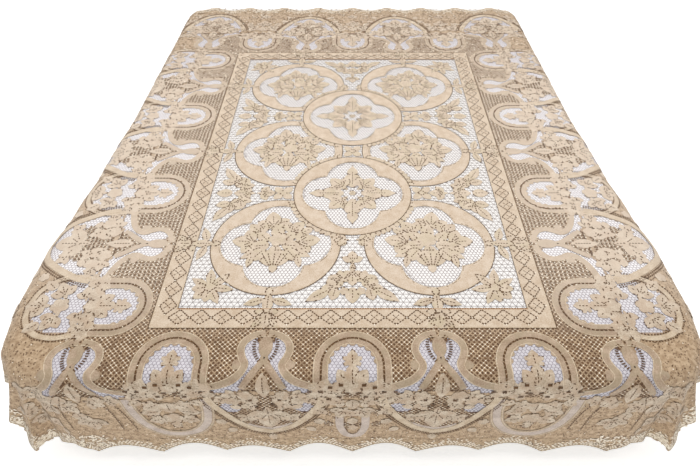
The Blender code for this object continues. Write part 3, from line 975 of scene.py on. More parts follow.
def arch_path(radius):
    round_part = arc((0, ARCH_CENTRE), radius, 180, 360, 40)
    heights = np.linspace(ARCH_CENTRE, ARCH_FOOT, 9)[1:]
    leg = np.column_stack([np.full(len(heights), radius), heights])
    return np.vstack([leg[::-1] * (-1, 1), round_part, leg])


# Length and width of the holes at a junction, which are larger at the foot
FOOT_HOLE, SIDE_HOLE = (0.0100, 0.0060), (0.0060, 0.0028)
HOLE_HALF = 0.003
# A spacing longer than the path gives a single slit
ONE_SLIT = 0.01
HOLE_LIFT = BAND_LIFT + 3 * SLIT_OVER


def add_holes(spot, holes, size):
    """One hole, drawn as a slit of painted shade, at each place across and outward, on both sides."""
    for across, outward in holes:
        for side in (1, -1):
            hole = ((across * side - HOLE_HALF, outward), (across * side + HOLE_HALF, outward))
            add_slits(spot.flat(hole), HOLE_LIFT, ONE_SLIT, *size)


def make_arch(place, out):
    """An arch with its root on the ribbon; out is (0, -1) at the foot of the bed."""
    spot = Spot(place, out, band_layer, BAND_LIFT)
    for outer, inner in (ARCH_OUTER, ARCH_INNER):
        spot.band(arch_path((outer + inner) / 2), outer - inner)
    for radius in (ARCH_OUTER[0] - ARCH_CORD_IN, ARCH_INNER[1] + ARCH_CORD_IN):
        add_cord(cord_layer, spot.flat(arch_path(radius)), ARCH_CORD, BAND_LIFT + ARCH_CORD_OVER)
    add_slits(spot.flat(arch_path(RUNG_RADIUS)), BAND_LIFT + SLIT_OVER, *ARCH_RUNGS)
    for degrees in ARCH_LOBES:
        root = arc((0, ARCH_CENTRE), ARCH_LOBE_FROM, degrees, degrees, 1)
        spot.plate(flower_outline(ARCH_LOBE, 2, 0.05) + root, slitted=False)
    paint(net_windows, spot.flat(arch_path(ARCH_WINDOW)))
    paint(dark_patches, spot.flat(ARCH_FLOOR))
    leaves = Spot(place, out, border_leaves, SPRAY_LIFT)
    leaves.spray(ARCH_SPRAY)
    leaves.spray(JUNCTION_SPRAY)
    add_holes(spot, JUNCTION_HOLES, FOOT_HOLE if out[1] < 0 else SIDE_HOLE)


arches = [((u * END_ARCH, end * RIBBON_HALF_V), (0, end)) for end in (-1, 1) for u in (-1, 0, 1)]
arches += [
    ((end * RIBBON_HALF_U, v * REPEAT), (end, 0)) for end in (-1, 1) for v in (-1.5, -0.5, 0.5, 1.5)
]
for place, out in arches:
    make_arch(place, out)
print(len(arches), "arches")

# %% [markdown]
# ## Ogees of the border
# Between the arches an onion-shaped band rises to the ribbon and sweeps out to both sides at its
# foot. Inside are two strips of net and a lozenge on a forked stem, with rungs of painted shade
# beside it at the foot of the bed.

# %% Ogees
OGEE_HALF = (
    (0.004, 0.016), (0.030, 0.022), (0.050, 0.038), (0.057, 0.060), (0.051, 0.082),
    (0.043, 0.099), (0.049, 0.118), (0.070, 0.136), (0.100, 0.148), (0.126, 0.154),
)
STEM_HALF = (
    (0.0, 0.066), (0.003, 0.086), (0.013, 0.106), (0.026, 0.124), (0.038, 0.141), (0.048, 0.158),
)
OGEE_BAND, STEM_BAND = 0.016, 0.015
OGEE_CORD, OGEE_CORD_OVER = 0.0024, 0.0003
BUMP_PLACE, BUMP_RADIUS = (0.060, 0.100), 0.013
# Points of the smoothed halves after which the strip of net and the fork of the stem start
STRIP_FROM, FORK_FROM = 6, 12
FORK_OFF = 0.0095
FLOOR_LINE = ((0.016, 0.163), (0.046, 0.163))
LOZENGE_RADII, LOZENGE_CENTRE = (0.0165, 0.028), (0, 0.052)
LOZENGE_OVER = 0.0002
# A triangle of trellis over painted shade: its corners across and outward
OGEE_DARK = ((0, 0.104), (0.050, 0.168), (-0.050, 0.168))
# Slits: spacing, length and width in m
LADDER_SLITS = (0.0066, 0.0030, 0.0080)
FORK_SLITS = (0.0058, 0.0030, 0.0018)
FLOOR_SLITS = (0.0088, 0.0070, 0.0030)
STRIP_END = ((0.120, 0.172), (0.096, 0.176), (0.070, 0.170))
LADDER = ((0.013, 0.022), (0.025, 0.034), (0.027, 0.054), (0.021, 0.076), (0.010, 0.092))
OGEE_SPRAY = (
    ("pointed", 0.0, 0.120, 90, 0.078),
    ("clover", 0.012, 0.188, 24, 0.052),
    ("flower", 0.044, 0.186, 0, 0.020),
    ("clover", 0.056, 0.184, 4, 0.046),
)


def make_ogee(place, out):
    spot = Spot(place, out, band_layer, BAND_LIFT)
    half = smooth(OGEE_HALF)
    stem = smooth(STEM_HALF)
    over = BAND_LIFT + SLIT_OVER
    for side in (1, -1):
        spot.band(half * (side, 1), OGEE_BAND)
        spot.band(stem * (side, 1), STEM_BAND)
        for off in (-OGEE_BAND / 2, OGEE_BAND / 2):
            edge = half + square_to(half) * off
            add_cord(cord_layer, spot.flat(edge * (side, 1)), OGEE_CORD, BAND_LIFT + OGEE_CORD_OVER)
        bump = flower_outline(BUMP_RADIUS, 3) + np.array(BUMP_PLACE) * (side, 1)
        spot.plate(bump, slitted=False)
        strip = np.vstack([half[STRIP_FROM:], STRIP_END, stem[::-1]]) * (side, 1)
        paint(net_windows, spot.flat(strip))
        if out[1] < 0:
            add_slits(spot.flat(smooth(LADDER) * (side, 1)), over, *LADDER_SLITS)
        fork = stem[FORK_FROM:] * (side, 1) - square_to(stem[FORK_FROM:]) * (FORK_OFF * side, FORK_OFF)
        add_slits(spot.flat(fork), over, *FORK_SLITS)
        add_slits(spot.flat(np.array(FLOOR_LINE) * (side, 1)), over + SLIT_OVER, *FLOOR_SLITS)
    lozenge = arc((0, 0), 1.0, 0, 360, 25)[:-1] * LOZENGE_RADII + LOZENGE_CENTRE
    spot.plate(lozenge, LOZENGE_OVER, slitted=False)
    paint(dark_patches, spot.flat(OGEE_DARK))
    Spot(place, out, border_leaves, SPRAY_LIFT).spray(OGEE_SPRAY)


CORNER_OGEE_OUT = 0.025
ogees = [((u * END_OGEE, end * RIBBON_HALF_V), (0, end)) for end in (-1, 1) for u in (-1, 1)]
ogees += [((end * RIBBON_HALF_U, v * REPEAT), (end, 0)) for end in (-1, 1) for v in (-1, 0, 1)]
corner_ogees = [
    ((u * CORNER_OGEE, end * (RIBBON_HALF_V + CORNER_OGEE_OUT)), (0, end))
    for end in (-1, 1) for u in (-1, 1)
]
for place, out in ogees + corner_ogees:
    make_ogee(place, out)
print(len(ogees + corner_ogees), "ogees")

# %% [markdown]
# ## The hanging part of the border
# Below the arches the cloth hangs. Under each ogee a wide cream curve holds a spray of leaves, over
# two round windows at the foot and over a crescent of net elsewhere. At the foot, a curve of half
# stitch lies under each outer arch and a narrower one under the middle arch. At the sides, every
# arch is closed into an oval by its far half. The two foot corners fold, so they hold only leaves
# and lines of slits. The rest is close ground with scattered leaves.

# %% Outlines and sprays of the hanging part
WIDE_HALF = (
    (0.134, 0.194), (0.127, 0.226), (0.110, 0.262), (0.085, 0.304), (0.048, 0.344), (0.0, 0.362),
)
WIDE_SPRAY = (
    ("clover", 0.0, 0.238, 90, 0.104),
    ("clover", 0.020, 0.222, 24, 0.046),
    ("clover", 0.044, 0.278, 50, 0.042),
    ("flower", 0.076, 0.212, 0, 0.019),
    ("clover", 0.088, 0.200, 20, 0.036),
    ("bud", 0.060, 0.244, -20, 0.028),
)
WIDE_HOLES = ((0.022, 0.238), (0.014, 0.226), (0.034, 0.206))
LOW_HALF = (
    (0.092, 0.205), (0.090, 0.262), (0.078, 0.320), (0.054, 0.362), (0.028, 0.382), (0.0, 0.388),
)
LOW_SPRAY = (
    ("maple", 0.0, 0.222, 90, 0.052),
    ("maple", 0.020, 0.226, 35, 0.050),
    ("trefoil", 0.022, 0.262, 12, 0.052),
    ("flower", 0.0, 0.300, 0, 0.026),
    ("maple", 0.022, 0.300, 20, 0.044),
    ("bud", 0.058, 0.214, 30, 0.036),
    ("trefoil", 0.0, 0.318, 90, 0.034),
)
SHOE_HALF = ((0.030, 0.272), (0.032, 0.310), (0.030, 0.350), (0.018, 0.384), (0.0, 0.394))
SHOE_SPRAY = (
    ("clover", 0.014, 0.208, 20, 0.050),
    ("clover", 0.050, 0.210, 10, 0.044),
    ("clover", 0.012, 0.240, 66, 0.060),
    ("bud", 0.0, 0.206, 90, 0.044),
    ("clover", 0.066, 0.246, 50, 0.044),
    ("bud", 0.0, 0.296, 90, 0.034),
)
GROUND_SPRAY = (
    ("bud", 0.0, 0.376, 90, 0.030),
    ("bud", 0.090, 0.350, 50, 0.030),
    ("flower", 0.120, 0.318, 0, 0.015),
)


def both_halves(half):
    half = smooth(half)
    return np.vstack([half, half[-2::-1] * (-1, 1)])


def paint_discs(sheet_map, spot, places, radius, count):
    """Marks a disc of so many points at each place across and outward, on both sides."""
    for across, outward in places:
        for side in (1, -1):
            disc = arc((across * side, outward), radius, 0, 360, count)[:-1]
            paint(sheet_map, spot.flat(disc))


# %% [markdown]
# A wide curve is one smooth path. Its band, two cords and two rows of slits are all drawn at their
# own distance from that path, so they stay side by side round every bend.

# %% Wide curves under the ogees
WIDE_BAND, WIDE_CORD = 0.017, 0.0028
WIDE_LIFT, WIDE_CORD_LIFT = BAND_LIFT + 0.0006, BAND_LIFT + 0.0008
WIDE_CORDS = (-0.0080, 0.0080)
WIDE_DASHES = (-0.0140, -0.0205)
DASH_SLITS = (0.0070, 0.0044, 0.0036)
# Length and width of the holes between the leaves
FOOT_LEAF_HOLE, SIDE_LEAF_HOLE = (0.0090, 0.0060), (0.0056, 0.0030)
# The crescent of net lies between two smaller copies of the curve
CRESCENT_OUTER, CRESCENT_INNER, CRESCENT_SHIFT = (0.93, 0.975), (0.72, 0.78), (0, 0.030)
# At the foot: round windows, trellis over painted shade, and a bar of half stitch along the tip
WINDOW_PLACES, WINDOW_DISC = ((0.086, 0.244),), (0.024, 25)
DARK_SHIFT = (0, -0.004)
TIP_HALF, TIP_SHIFT, TIP_BAND = 0.060, (0, 0.014), 0.010


def make_wide_curve(place, out):
    spot = Spot(place, out, curve_layer, WIDE_LIFT)
    path = both_halves(WIDE_HALF)
    spot.band(path, WIDE_BAND)
    side = square_to(path)
    for off in WIDE_CORDS:
        add_cord(cord_layer, spot.flat(path + side * off), WIDE_CORD, WIDE_CORD_LIFT)
    for off in WIDE_DASHES:
        add_slits(spot.flat(path + side * off), BAND_LIFT + SLIT_OVER, *DASH_SLITS)
    if out[1] < 0:
        paint_discs(net_windows, spot, WINDOW_PLACES, *WINDOW_DISC)
        paint(dark_patches, spot.flat(path + DARK_SHIFT))
        tip = path[abs(path[:, 0]) < TIP_HALF]
        Spot(place, out, low_layer, BAND_LIFT).band(tip - TIP_SHIFT, TIP_BAND)
    else:
        inner = path * CRESCENT_INNER + CRESCENT_SHIFT
        paint(net_windows, spot.flat(np.vstack([path * CRESCENT_OUTER, inner[::-1]])))
        paint(dark_patches, spot.flat(inner))
    Spot(place, out, border_leaves, HANGING_LIFT).spray(WIDE_SPRAY)
    add_holes(spot, WIDE_HOLES, FOOT_LEAF_HOLE if out[1] < 0 else SIDE_LEAF_HOLE)


# %% [markdown]
# Half stitch is a loose weave that looks greyer than close stitch. It is a band of its own layer,
# between two raised edges.

# %% Curves of half stitch at the foot
# The outer ones stand this much farther from the middle of the foot than their arch does
LOW_SHIFT = 0.020
LOW_LIFT, LOW_CORD_LIFT = BAND_LIFT + 0.0002, BAND_LIFT + 0.0006
LOW_BAND, LOW_EDGE, LOW_CORD = 0.022, 0.008, 0.0026
LOW_EDGES = (-0.013, 0.013)
# Discs of trellis over painted shade between the leaves: places across and outward, then radius and points
LOW_GAPS = ((0.030, 0.244), (0.046, 0.290), (0.0, 0.345))
GAP_DISC = (0.013, 13)
SHOE_BAND = 0.020
# Slits beside the band: distance from its middle, spacing, and the share that is there
SHOE_SLITS_OFF, SHOE_EVERY, SHOE_SHARE = 0.012, 0.0080, 0.5
# Discs of trellis over painted shade beside the narrow curve: places across and outward
SHOE_GAPS = ((0.050, 0.262), (0.060, 0.272), (0.058, 0.330), (0.012, 0.330))
SHOE_ROSETTE = (0, 0.345, 0.014)


def make_low_curve(place, out):
    """The curve under an outer arch."""
    spot = Spot(place, out, band_layer, LOW_LIFT)
    path = both_halves(LOW_HALF)
    side = square_to(path)
    for off in LOW_EDGES:
        edge = path + side * off
        spot.band(edge, LOW_EDGE)
        add_cord(cord_layer, spot.flat(edge), LOW_CORD, LOW_CORD_LIFT)
    Spot(place, out, low_layer, BAND_LIFT).band(path, LOW_BAND)
    paint_discs(dark_patches, spot, LOW_GAPS, *GAP_DISC)
    Spot(place, out, border_leaves, HANGING_LIFT).spray(LOW_SPRAY)


def make_shoe(place, out):
    """The narrow curve under the middle arch."""
    spot = Spot(place, out, band_layer, LOW_LIFT)
    path = both_halves(SHOE_HALF)
    Spot(place, out, low_layer, BAND_LIFT).band(path, SHOE_BAND)
    beside = path + square_to(path) * SHOE_SLITS_OFF
    add_slits(spot.flat(beside), BAND_LIFT + SLIT_OVER, SHOE_EVERY, share=SHOE_SHARE)
    paint_discs(dark_patches, spot, SHOE_GAPS, *GAP_DISC)
    leaves = Spot(place, out, border_leaves, HANGING_LIFT)
    leaves.flower(*SHOE_ROSETTE)
    leaves.spray(SHOE_SPRAY)


# %% [markdown]
# The far half of an oval starts where the legs of its arch end, so the two read as one shape.

# %% Ovals at the sides
CLUSTER = (
    ("clover", 0.0, 0.262, 90, 0.066),
    ("clover", 0.020, 0.232, 30, 0.060),
    ("bud", 0.052, 0.270, 50, 0.040),
    ("flower", 0.0, 0.240, 0, 0.024),
    ("clover", 0.0, 0.352, 90, 0.044),
)
LOOP_HALF = ((0.084, 0.172), (0.094, 0.222), (0.082, 0.272), (0.046, 0.306), (0.0, 0.318))
LOOP_BAND, LOOP_LIFT = 0.013, BAND_LIFT + 0.0004
LOOP_EDGES = (-0.0095, 0.0095)
LOOP_SLITS = (0.0074, 0.0044, 0.0030)
LOOP_WINDOW, LOOP_WINDOW_SHIFT = (0.84, 0.88), (0, 0.024)


def make_loop(place, out):
    """The far half of an oval whose near half is an arch at the side."""
    spot = Spot(place, out, curve_layer, LOOP_LIFT)
    path = both_halves(LOOP_HALF)
    spot.band(path, LOOP_BAND)
    side = square_to(path)
    for off in LOOP_EDGES:
        add_slits(spot.flat(path + side * off), BAND_LIFT + SLIT_OVER, *LOOP_SLITS)
    paint(net_windows, spot.flat(path * LOOP_WINDOW + LOOP_WINDOW_SHIFT))
    Spot(place, out, border_leaves, HANGING_LIFT).spray(CLUSTER)


# %% [markdown]
# Two borders meet at each corner. Leaves along the diagonal fill the place between their motifs.

# %% Corners
# Clusters along the diagonal of a corner: how far out they stand and their size in m
CORNER_CLUSTERS = ((0.31, 0.074), (0.43, 0.064))
# Kind, across, outward from the cluster's root, degrees, share of the cluster's size
CORNER_CLUSTER = (
    ("clover", 0.0, 0.0, 90, 1.0),
    ("clover", 0.016, -0.014, 8, 0.8),
    ("bud", 0.070, 0.0, 40, 0.6),
    ("flower", 0.0, -0.010, 0, 0.28),
)
CORNER_LEAVES = (
    ("clover", 0.112, 0.148, 26, 0.062),
    ("bud", 0.142, 0.120, 66, 0.036),
    ("clover", 0.0, 0.262, 90, 0.070),
    ("bud", 0.150, 0.200, 40, 0.042),
)
CORNER_LINES = (
    ((0.050, 0.165), (0.085, 0.230), (0.100, 0.330)),
    ((0.036, 0.172), (0.060, 0.240), (0.066, 0.330)),
)
CORNER_SLITS = (0.0085, 0.0056, 0.0030)


def make_corner(side, end):
    """Leaves along the diagonal of a corner, where two borders meet."""
    way = np.array((side, end)) / math.sqrt(2)
    spot = Spot((side * RIBBON_HALF_U, end * RIBBON_HALF_V), way, border_leaves, SPRAY_LIFT)
    for root, size in CORNER_CLUSTERS:
        spot.spray([
            (kind, across, root + outward, degrees, size * share)
            for kind, across, outward, degrees, share in CORNER_CLUSTER
        ])


def make_folded_corner(place, out):
    """Leaves and lines of slits where the cloth folds at a foot corner."""
    spot = Spot(place, out, border_leaves, HANGING_LIFT)
    spot.spray(CORNER_LEAVES)
    for line in CORNER_LINES:
        for side in (1, -1):
            add_slits(spot.flat(smooth(line) * (side, 1)), BAND_LIFT + SLIT_OVER, *CORNER_SLITS)


# %% [markdown]
# With the motifs written, each place round the bed gets the one that belongs there.

# %% Make the hanging part
for side in (-1, 1):
    for end in (-1, 1):
        make_corner(side, end)
head_corners = [(place, out) for place, out in corner_ogees if out[1] > 0]
foot_corners = [(place, out) for place, out in corner_ogees if out[1] < 0]
for place, out in ogees + head_corners:
    make_wide_curve(place, out)
for place, out in foot_corners:
    make_folded_corner(place, out)
for place, out in arches:
    if out[1] == 0:
        make_loop(place, out)
    elif out[1] > 0:
        Spot(place, out, border_leaves, HANGING_LIFT).spray(CLUSTER)
    elif place[0] == 0:
        make_shoe(place, out)
    else:
        make_low_curve((place[0] + math.copysign(LOW_SHIFT, place[0]), place[1]), out)
for place, out in ogees:
    Spot(place, out, border_leaves, SPRAY_LIFT).spray(GROUND_SPRAY)
print("border leaves", border_leaves.triangles(), "triangles")

# %% [markdown]
# ## Grounds of the border
# Next to the ribbon the ground is a trellis of tape laid on the diagonal over a dense mesh painted
# dark brown as shade, so its holes look brown. Farther out it is close tan ground. Net shows only in
# the windows. The strips of tape pass over and under one another, and cream knots painted as
# highlights on their crossings make the trellis sparkle.

# %% Which ground lies where
TRELLIS_OUT = 0.152
# How far the trellis runs under the ribbon, and each ground under the other
RIBBON_LAP, GROUND_LAP = 0.008, 0.006
ARCH_OPENING = 0.062
GROUND_CELL = 0.007
trellis_zone = (outward_map > -RIBBON_LAP) & (outward_map < TRELLIS_OUT + GROUND_LAP)
for place, out in arches:
    paint(trellis_zone, Spot(place, out, None, 0).flat(arch_path(ARCH_OPENING)), False)
trellis_zone |= dark_patches
trellis_zone &= ~net_windows
close_zone = (outward_map > TRELLIS_OUT - GROUND_LAP) & ~net_windows
print("trellis", round(trellis_zone.sum() * MAP_STEP ** 2, 3), "m2")


# %% Trellis of tape over a mesh of painted shade
def add_trellis(layer, zone):
    """Tapes on both diagonals, each over one and under the next, with cream knots, painted as highlights, on
    the crossings.
    """
    count = int((HALF_U + HALF_V) / TRELLIS_PITCH)
    index = np.arange(-count, count + 1)
    first, second = np.meshgrid(index, index, indexing="ij")
    step = TRELLIS_PITCH / math.sqrt(2)

    def crossing(a, b):
        return np.column_stack([(a + b).ravel() * step, (a - b).ravel() * step])

    here = crossing(first, second)
    near = (abs(here[:, 0]) < HALF_U) & (abs(here[:, 1]) < HALF_V)
    first, second = first.ravel()[near], second.ravel()[near]
    here = here[near]
    over = np.where((first + second) % 2 == 0, 1.0, -1.0) * TAPE_RISE
    for turn, (da, db) in ((1, (1, 0)), (-1, (0, 1))):
        there = crossing(first + da, second + db)
        kept = on_map(zone, here) & on_map(zone, there)
        kept &= ~(on_map(hidden, here) & on_map(hidden, there))
        start, end, rise = here[kept], there[kept], over[kept] * turn
        ahead = (end - start) / TRELLIS_PITCH
        side = np.column_stack([-ahead[:, 1], ahead[:, 0]]) * TAPE_WIDTH / 2
        corners = np.stack([start - side, end - side, end + side, start + side], 1)
        rises = np.column_stack([rise, -rise, -rise, rise]).ravel() + TAPE_OVER
        layer.add(corners.reshape(-1, 2), rises, np.arange(len(start) * 4).reshape(-1, 4))
    bare = on_map(zone, here) & ~on_map(grown(covered, KNOT_HIGHLIGHT_CLEAR), here)
    knotted = here[bare & (chance.random(len(here)) < KNOT_HIGHLIGHT_SHARE)]
    level = np.tile((1.0, 0.0), (len(knotted), 1))
    add_patches(knot_and_highlight_layer, knotted, level, KNOT_HIGHLIGHT_SIZE, KNOT_HIGHLIGHT_SIZE, TAPE_OVER + KNOT_HIGHLIGHT_OVER)


TRELLIS_PITCH = 0.0086
TAPE_WIDTH = 0.0032
KNOT_HIGHLIGHT_SIZE = 0.0027
KNOT_HIGHLIGHT_SHARE = 0.5
TAPE_RISE = 0.0002
TAPE_OVER = 0.0002
KNOT_HIGHLIGHT_CLEAR = 0.002
KNOT_HIGHLIGHT_OVER = 0.0005
# A thread is hidden where close stitch reaches this far all round
HIDDEN_FROM = 0.003
hidden = grown(covered, -HIDDEN_FROM)
trellis_layer = Layer("trellis_ground")
add_trellis(trellis_layer, trellis_zone)
print("trellis", trellis_layer.triangles(), "triangles")


# %% Sheets of dense mesh painted as shade, and close ground
def add_sheet(layer, zone, cell, rise):
    """A flat grid of quads wherever the zone is marked at a cell's middle. Returns its area."""
    count_u, count_v = round(2 * HALF_U / cell), round(2 * HALF_V / cell)
    u, v = np.linspace(-HALF_U, HALF_U, count_u + 1), np.linspace(-HALF_V, HALF_V, count_v + 1)
    grid = np.stack(np.meshgrid(u, v, indexing="ij"), -1).reshape(-1, 2)
    row = np.arange(count_u)[:, None] * (count_v + 1) + np.arange(count_v)[None]
    quads = np.stack([row, row + count_v + 1, row + count_v + 2, row + 1], -1).reshape(-1, 4)
    quads = quads[on_map(zone, grid[quads].mean(1))]
    used, quads = np.unique(quads, return_inverse=True)
    layer.add(grid[used], rise, quads.reshape(-1, 4))
    return len(quads.reshape(-1, 4)) * (2 * HALF_U / count_u) * (2 * HALF_V / count_v)


HEM_STRIP, HEM_LAP = 0.078, 0.012
# Heights of the sheets against the middle of the cloth
CLOSE_LIFT, MESH_LIFT, BACKING_LIFT = -0.0004, -0.0002, -0.0009
BACKING_LAP = 0.006
edge_map = np.minimum(HALF_U - abs(MAP_U), HALF_V - abs(MAP_V))
from_corner = np.hypot(np.maximum(abs(MAP_U) - HALF_U + HEM_CORNER, 0),
                       np.maximum(abs(MAP_V) - HALF_V + HEM_CORNER, 0))
hem_map = np.where(from_corner > 0, np.minimum(HEM_CORNER - from_corner, edge_map), edge_map)
close_layer, shade_layer, window_backing_layer = Layer("close_ground"), Layer("painted_shade_mesh"), Layer("window_backing_painted_light")
close_here = close_zone & (hem_map > HEM_STRIP - HEM_LAP)
close_area = add_sheet(close_layer, close_here, GROUND_CELL, CLOSE_LIFT)
# The dense mesh under the trellis: a sheet painted dark brown as shade
add_sheet(shade_layer, trellis_zone, GROUND_CELL, MESH_LIFT)
# A pale backing under the window nets, standing for the white bedding seen through them, painted lighter as
# lit
add_sheet(window_backing_layer, grown(net_windows, BACKING_LAP), GROUND_CELL, BACKING_LIFT)
print("close ground", round(close_area, 3), "m2 before the hem")

# %% [markdown]
# Small knots and holes break up the even grounds. Cream and brown specks are strewn at random over
# the close ground, the head end and the folds of the foot corners; the brown ones are holes painted
# as shade, the cream ones knots painted light as highlights. On the trellis of the two sides they
# stand on an even grid, brown holes of painted shade on its whole steps and cream highlights between them.


# %% Specks and marks
def add_specks(layer, zone, count, length, width, lift):
    """Small patches strewn at random over a zone of the flat cloth."""
    places = (chance.random((count, 2)) * 2 - 1) * (HALF_U, HALF_V)
    places = places[on_map(zone, places)]
    angles = chance.random(len(places)) * math.pi
    ways = np.column_stack([np.cos(angles), np.sin(angles)])
    add_patches(layer, places, ways, length, width, lift)


# Places tried, then length, width and height in m
FOLD_SPECKS = (50000, 0.0090, 0.0036, 0.0012)
GROUND_HOLES = (13000, 0.0034, 0.0020, 0.0006)
GROUND_KNOT_HIGHLIGHTS = (3000, 0.0030, 0.0024, 0.0006)
HEAD_HOLES = (8500, 0.0080, 0.0036, 0.0016)
HEAD_KNOT_HIGHLIGHTS = (4000, 0.0080, 0.0036, 0.0016)
mark_layer = Layer("trellis_marks")
open_ground = close_zone & (hem_map > 0.045) & ~covered
near_head = (MAP_V > 0.45) & (outward_map > -RIBBON_WIDTH) & (hem_map > 0.02) & ~net_windows
side_trellis = trellis_zone & ~covered & (MAP_V > -0.60) & (MAP_V < 0.50)
foot_folds = (hem_map < 0.100) & (hem_map > 0.040) & (abs(MAP_U) > 0.62) & (MAP_V < -0.84)
add_specks(knot_and_highlight_layer, foot_folds, *FOLD_SPECKS)
add_specks(slits, open_ground, *GROUND_HOLES)
add_specks(knot_and_highlight_layer, open_ground, *GROUND_KNOT_HIGHLIGHTS)
add_specks(mark_layer, near_head, *HEAD_HOLES)
add_specks(knot_and_highlight_layer, near_head, *HEAD_KNOT_HIGHLIGHTS)
MARK_PITCH, MARK_JITTER = 0.0112, 0.3
MARK_LIFT = 0.0010
MARK_WAYS = ((0.8, 0.6), (-0.8, 0.6))
MARKS_ACROSS, MARKS_ALONG = 90, 80
# Layer, shift in steps of the grid, length and width in m
MARKS = ((mark_layer, 0.0, 0.0068, 0.0050), (knot_and_highlight_layer, 0.5, 0.0048, 0.0030))
for layer, shift, length, width in MARKS:
    across = (np.arange(-MARKS_ACROSS, MARKS_ACROSS) + shift) * MARK_PITCH
    along = np.arange(-MARKS_ALONG, MARKS_ALONG) * MARK_PITCH
    places = np.stack(np.meshgrid(across, along), -1).reshape(-1, 2)
    places = places + (chance.random(places.shape) - 0.5) * MARK_PITCH * MARK_JITTER
    places = places[on_map(side_trellis, places)]
    ways = np.tile(MARK_WAYS, (len(places), 1))[:len(places)]
    add_patches(layer, places, ways, length, width, MARK_LIFT)
print("trellis marks", mark_layer.triangles(), "triangles")

# %% [markdown]
# ## Net of the panel and the windows
# Inside the rings the net is a flat honeycomb of single threads. Round the rings it is more open,
# with level threads and slanted ones. A thread is only about half a millimetre thick, so it is
# drawn 1 mm wide to show at this size. White ticking shows through.


# %% Honeycomb net
# Cell across, cell along and thread width, in m
RING_CELL = (0.0098, 0.0084, 0.0012)
PANEL_CELL = (0.0160, 0.0125, 0.0011)
BORDER_CELL = (0.0092, 0.0076, 0.0012)
# Share of a honeycomb cell that is upright and slanting, and heights of a thread's edges and ridge
UPRIGHT, SLANTING = 0.45, 0.55
NET_LOW, NET_HIGH = -0.0008, 0.0002
PANEL_LAP, OPENING_LAP, WINDOW_LAP = 0.014, 0.012, 0.008


def net_roots(cell_u, cell_v):
    """One root for each cell of a net whose every second row is shifted by half a cell."""
    count_u, count_v = int(HALF_U / cell_u) + 1, int(HALF_V / cell_v) + 1
    columns, rows = np.meshgrid(
        np.arange(-count_u, count_u + 1), np.arange(-count_v, count_v + 1), indexing="ij")
    return np.column_stack([((columns + 0.5 * (rows % 2)) * cell_u).ravel(), (rows * cell_v).ravel()])


def add_threads(layer, zone, start, end, width):
    """Threads whose two ends lie in the zone and aren't both under close stitch."""
    kept = on_map(zone, start) & on_map(zone, end)
    kept &= ~(on_map(hidden, start) & on_map(hidden, end))
    kept &= (abs(start[:, 0]) < HALF_U) & (abs(start[:, 1]) < HALF_V)
    add_strands(layer, start[kept], end[kept], width, NET_LOW, NET_HIGH)


def add_net(layer, zone, cell_u, cell_v, width):
    """A honeycomb: upright threads, each forking into two slanting ones."""
    low = net_roots(cell_u, cell_v)
    high = low + (0, cell_v * UPRIGHT)
    rise = (cell_u / 2, cell_v * SLANTING)
    for start, end in ((low, high), (high, high + rise), (high, high + (-rise[0], rise[1]))):
        add_threads(layer, zone, start, end, width)


def add_crossed_net(layer, zone, cell_u, cell_v, width):
    """Level threads with slanted ones between them, as in the open net round the rings."""
    start = net_roots(cell_u, cell_v)
    for step in ((cell_u, 0), (cell_u / 2, cell_v), (-cell_u / 2, cell_v)):
        add_threads(layer, zone, start, start + step, width)


ring_net, panel_net, border_net = Layer("ring_net"), Layer("panel_net"), Layer("border_net")
panel_zone = outward_map < -RIBBON_WIDTH + PANEL_LAP
add_net(ring_net, grown(ring_openings, OPENING_LAP) & panel_zone, *RING_CELL)
add_crossed_net(panel_net, grown(panel_zone & ~ring_openings, OPENING_LAP) & panel_zone, *PANEL_CELL)
add_net(border_net, grown(net_windows, WINDOW_LAP), *BORDER_CELL)
print("nets", ring_net.triangles(), panel_net.triangles(), border_net.triangles(), "triangles")

# %% [markdown]
# ## The hem
# The hem is worked in one with the lace. It follows the scalloped edge, so it is built along the
# edge, by distance round it and distance in from it. A cord with picots finishes the edge, and
# rows of small cream knots, painted light as highlights, lie just inside it.

# %% Hem along the scalloped edge
QUARTER = HALF_U + HALF_V - 2 * HEM_CORNER + HEM_CORNER * math.pi / 2
SCALLOP_PITCH = QUARTER / SCALLOPS_A_QUARTER
HEM_STEP = 0.0055


def edge_place(distance):
    """Points of the rounded rectangle and outward directions, by distance round it."""
    distance = np.asarray(distance) % (4 * QUARTER)
    number, rest = distance // QUARTER, distance % QUARTER
    rest = np.where(number % 2 == 1, QUARTER - rest, rest)
    straight_u, straight_v = HALF_U - HEM_CORNER, HALF_V - HEM_CORNER
    turned_by = np.clip((rest - straight_u) / HEM_CORNER, 0, math.pi / 2)
    out = np.column_stack([np.sin(turned_by), -np.cos(turned_by)])
    point = out * HEM_CORNER + np.column_stack([
        np.minimum(rest, straight_u),
        -straight_v + np.maximum(rest - straight_u - HEM_CORNER * math.pi / 2, 0)])
    signs = np.column_stack([np.where((number == 0) | (number == 1), 1, -1),
                             np.where((number == 0) | (number == 3), 1, -1)])
    return point * signs, out * signs


def scallop_dip(distance):
    """How far the edge lies inside the line of the scallops' tips."""
    part = (np.asarray(distance) / SCALLOP_PITCH - 0.5) % 1
    return SCALLOP_DEPTH * abs(np.cos(math.pi * part))


def hem_line(distance, inset, dip_share=1.0):
    point, out = edge_place(distance)
    return point - out * (inset + dip_share * scallop_dip(distance))[:, None]


BRAID_DEEP = 0.006
DOT_SPACING = 0.0085
# Distance in from the edge, in m, and share of the knots that are there
DOT_ROWS = ((0.0115, 0.95), (0.0190, 0.9), (0.0265, 0.75), (0.0340, 0.5), (0.0420, 0.25))
DOT_SIZE = (0.0054, 0.0052, 0.0010)
DOT_SCATTER = 0.0008
EDGE_CORD, EDGE_CORD_IN = 0.0044, 0.0045
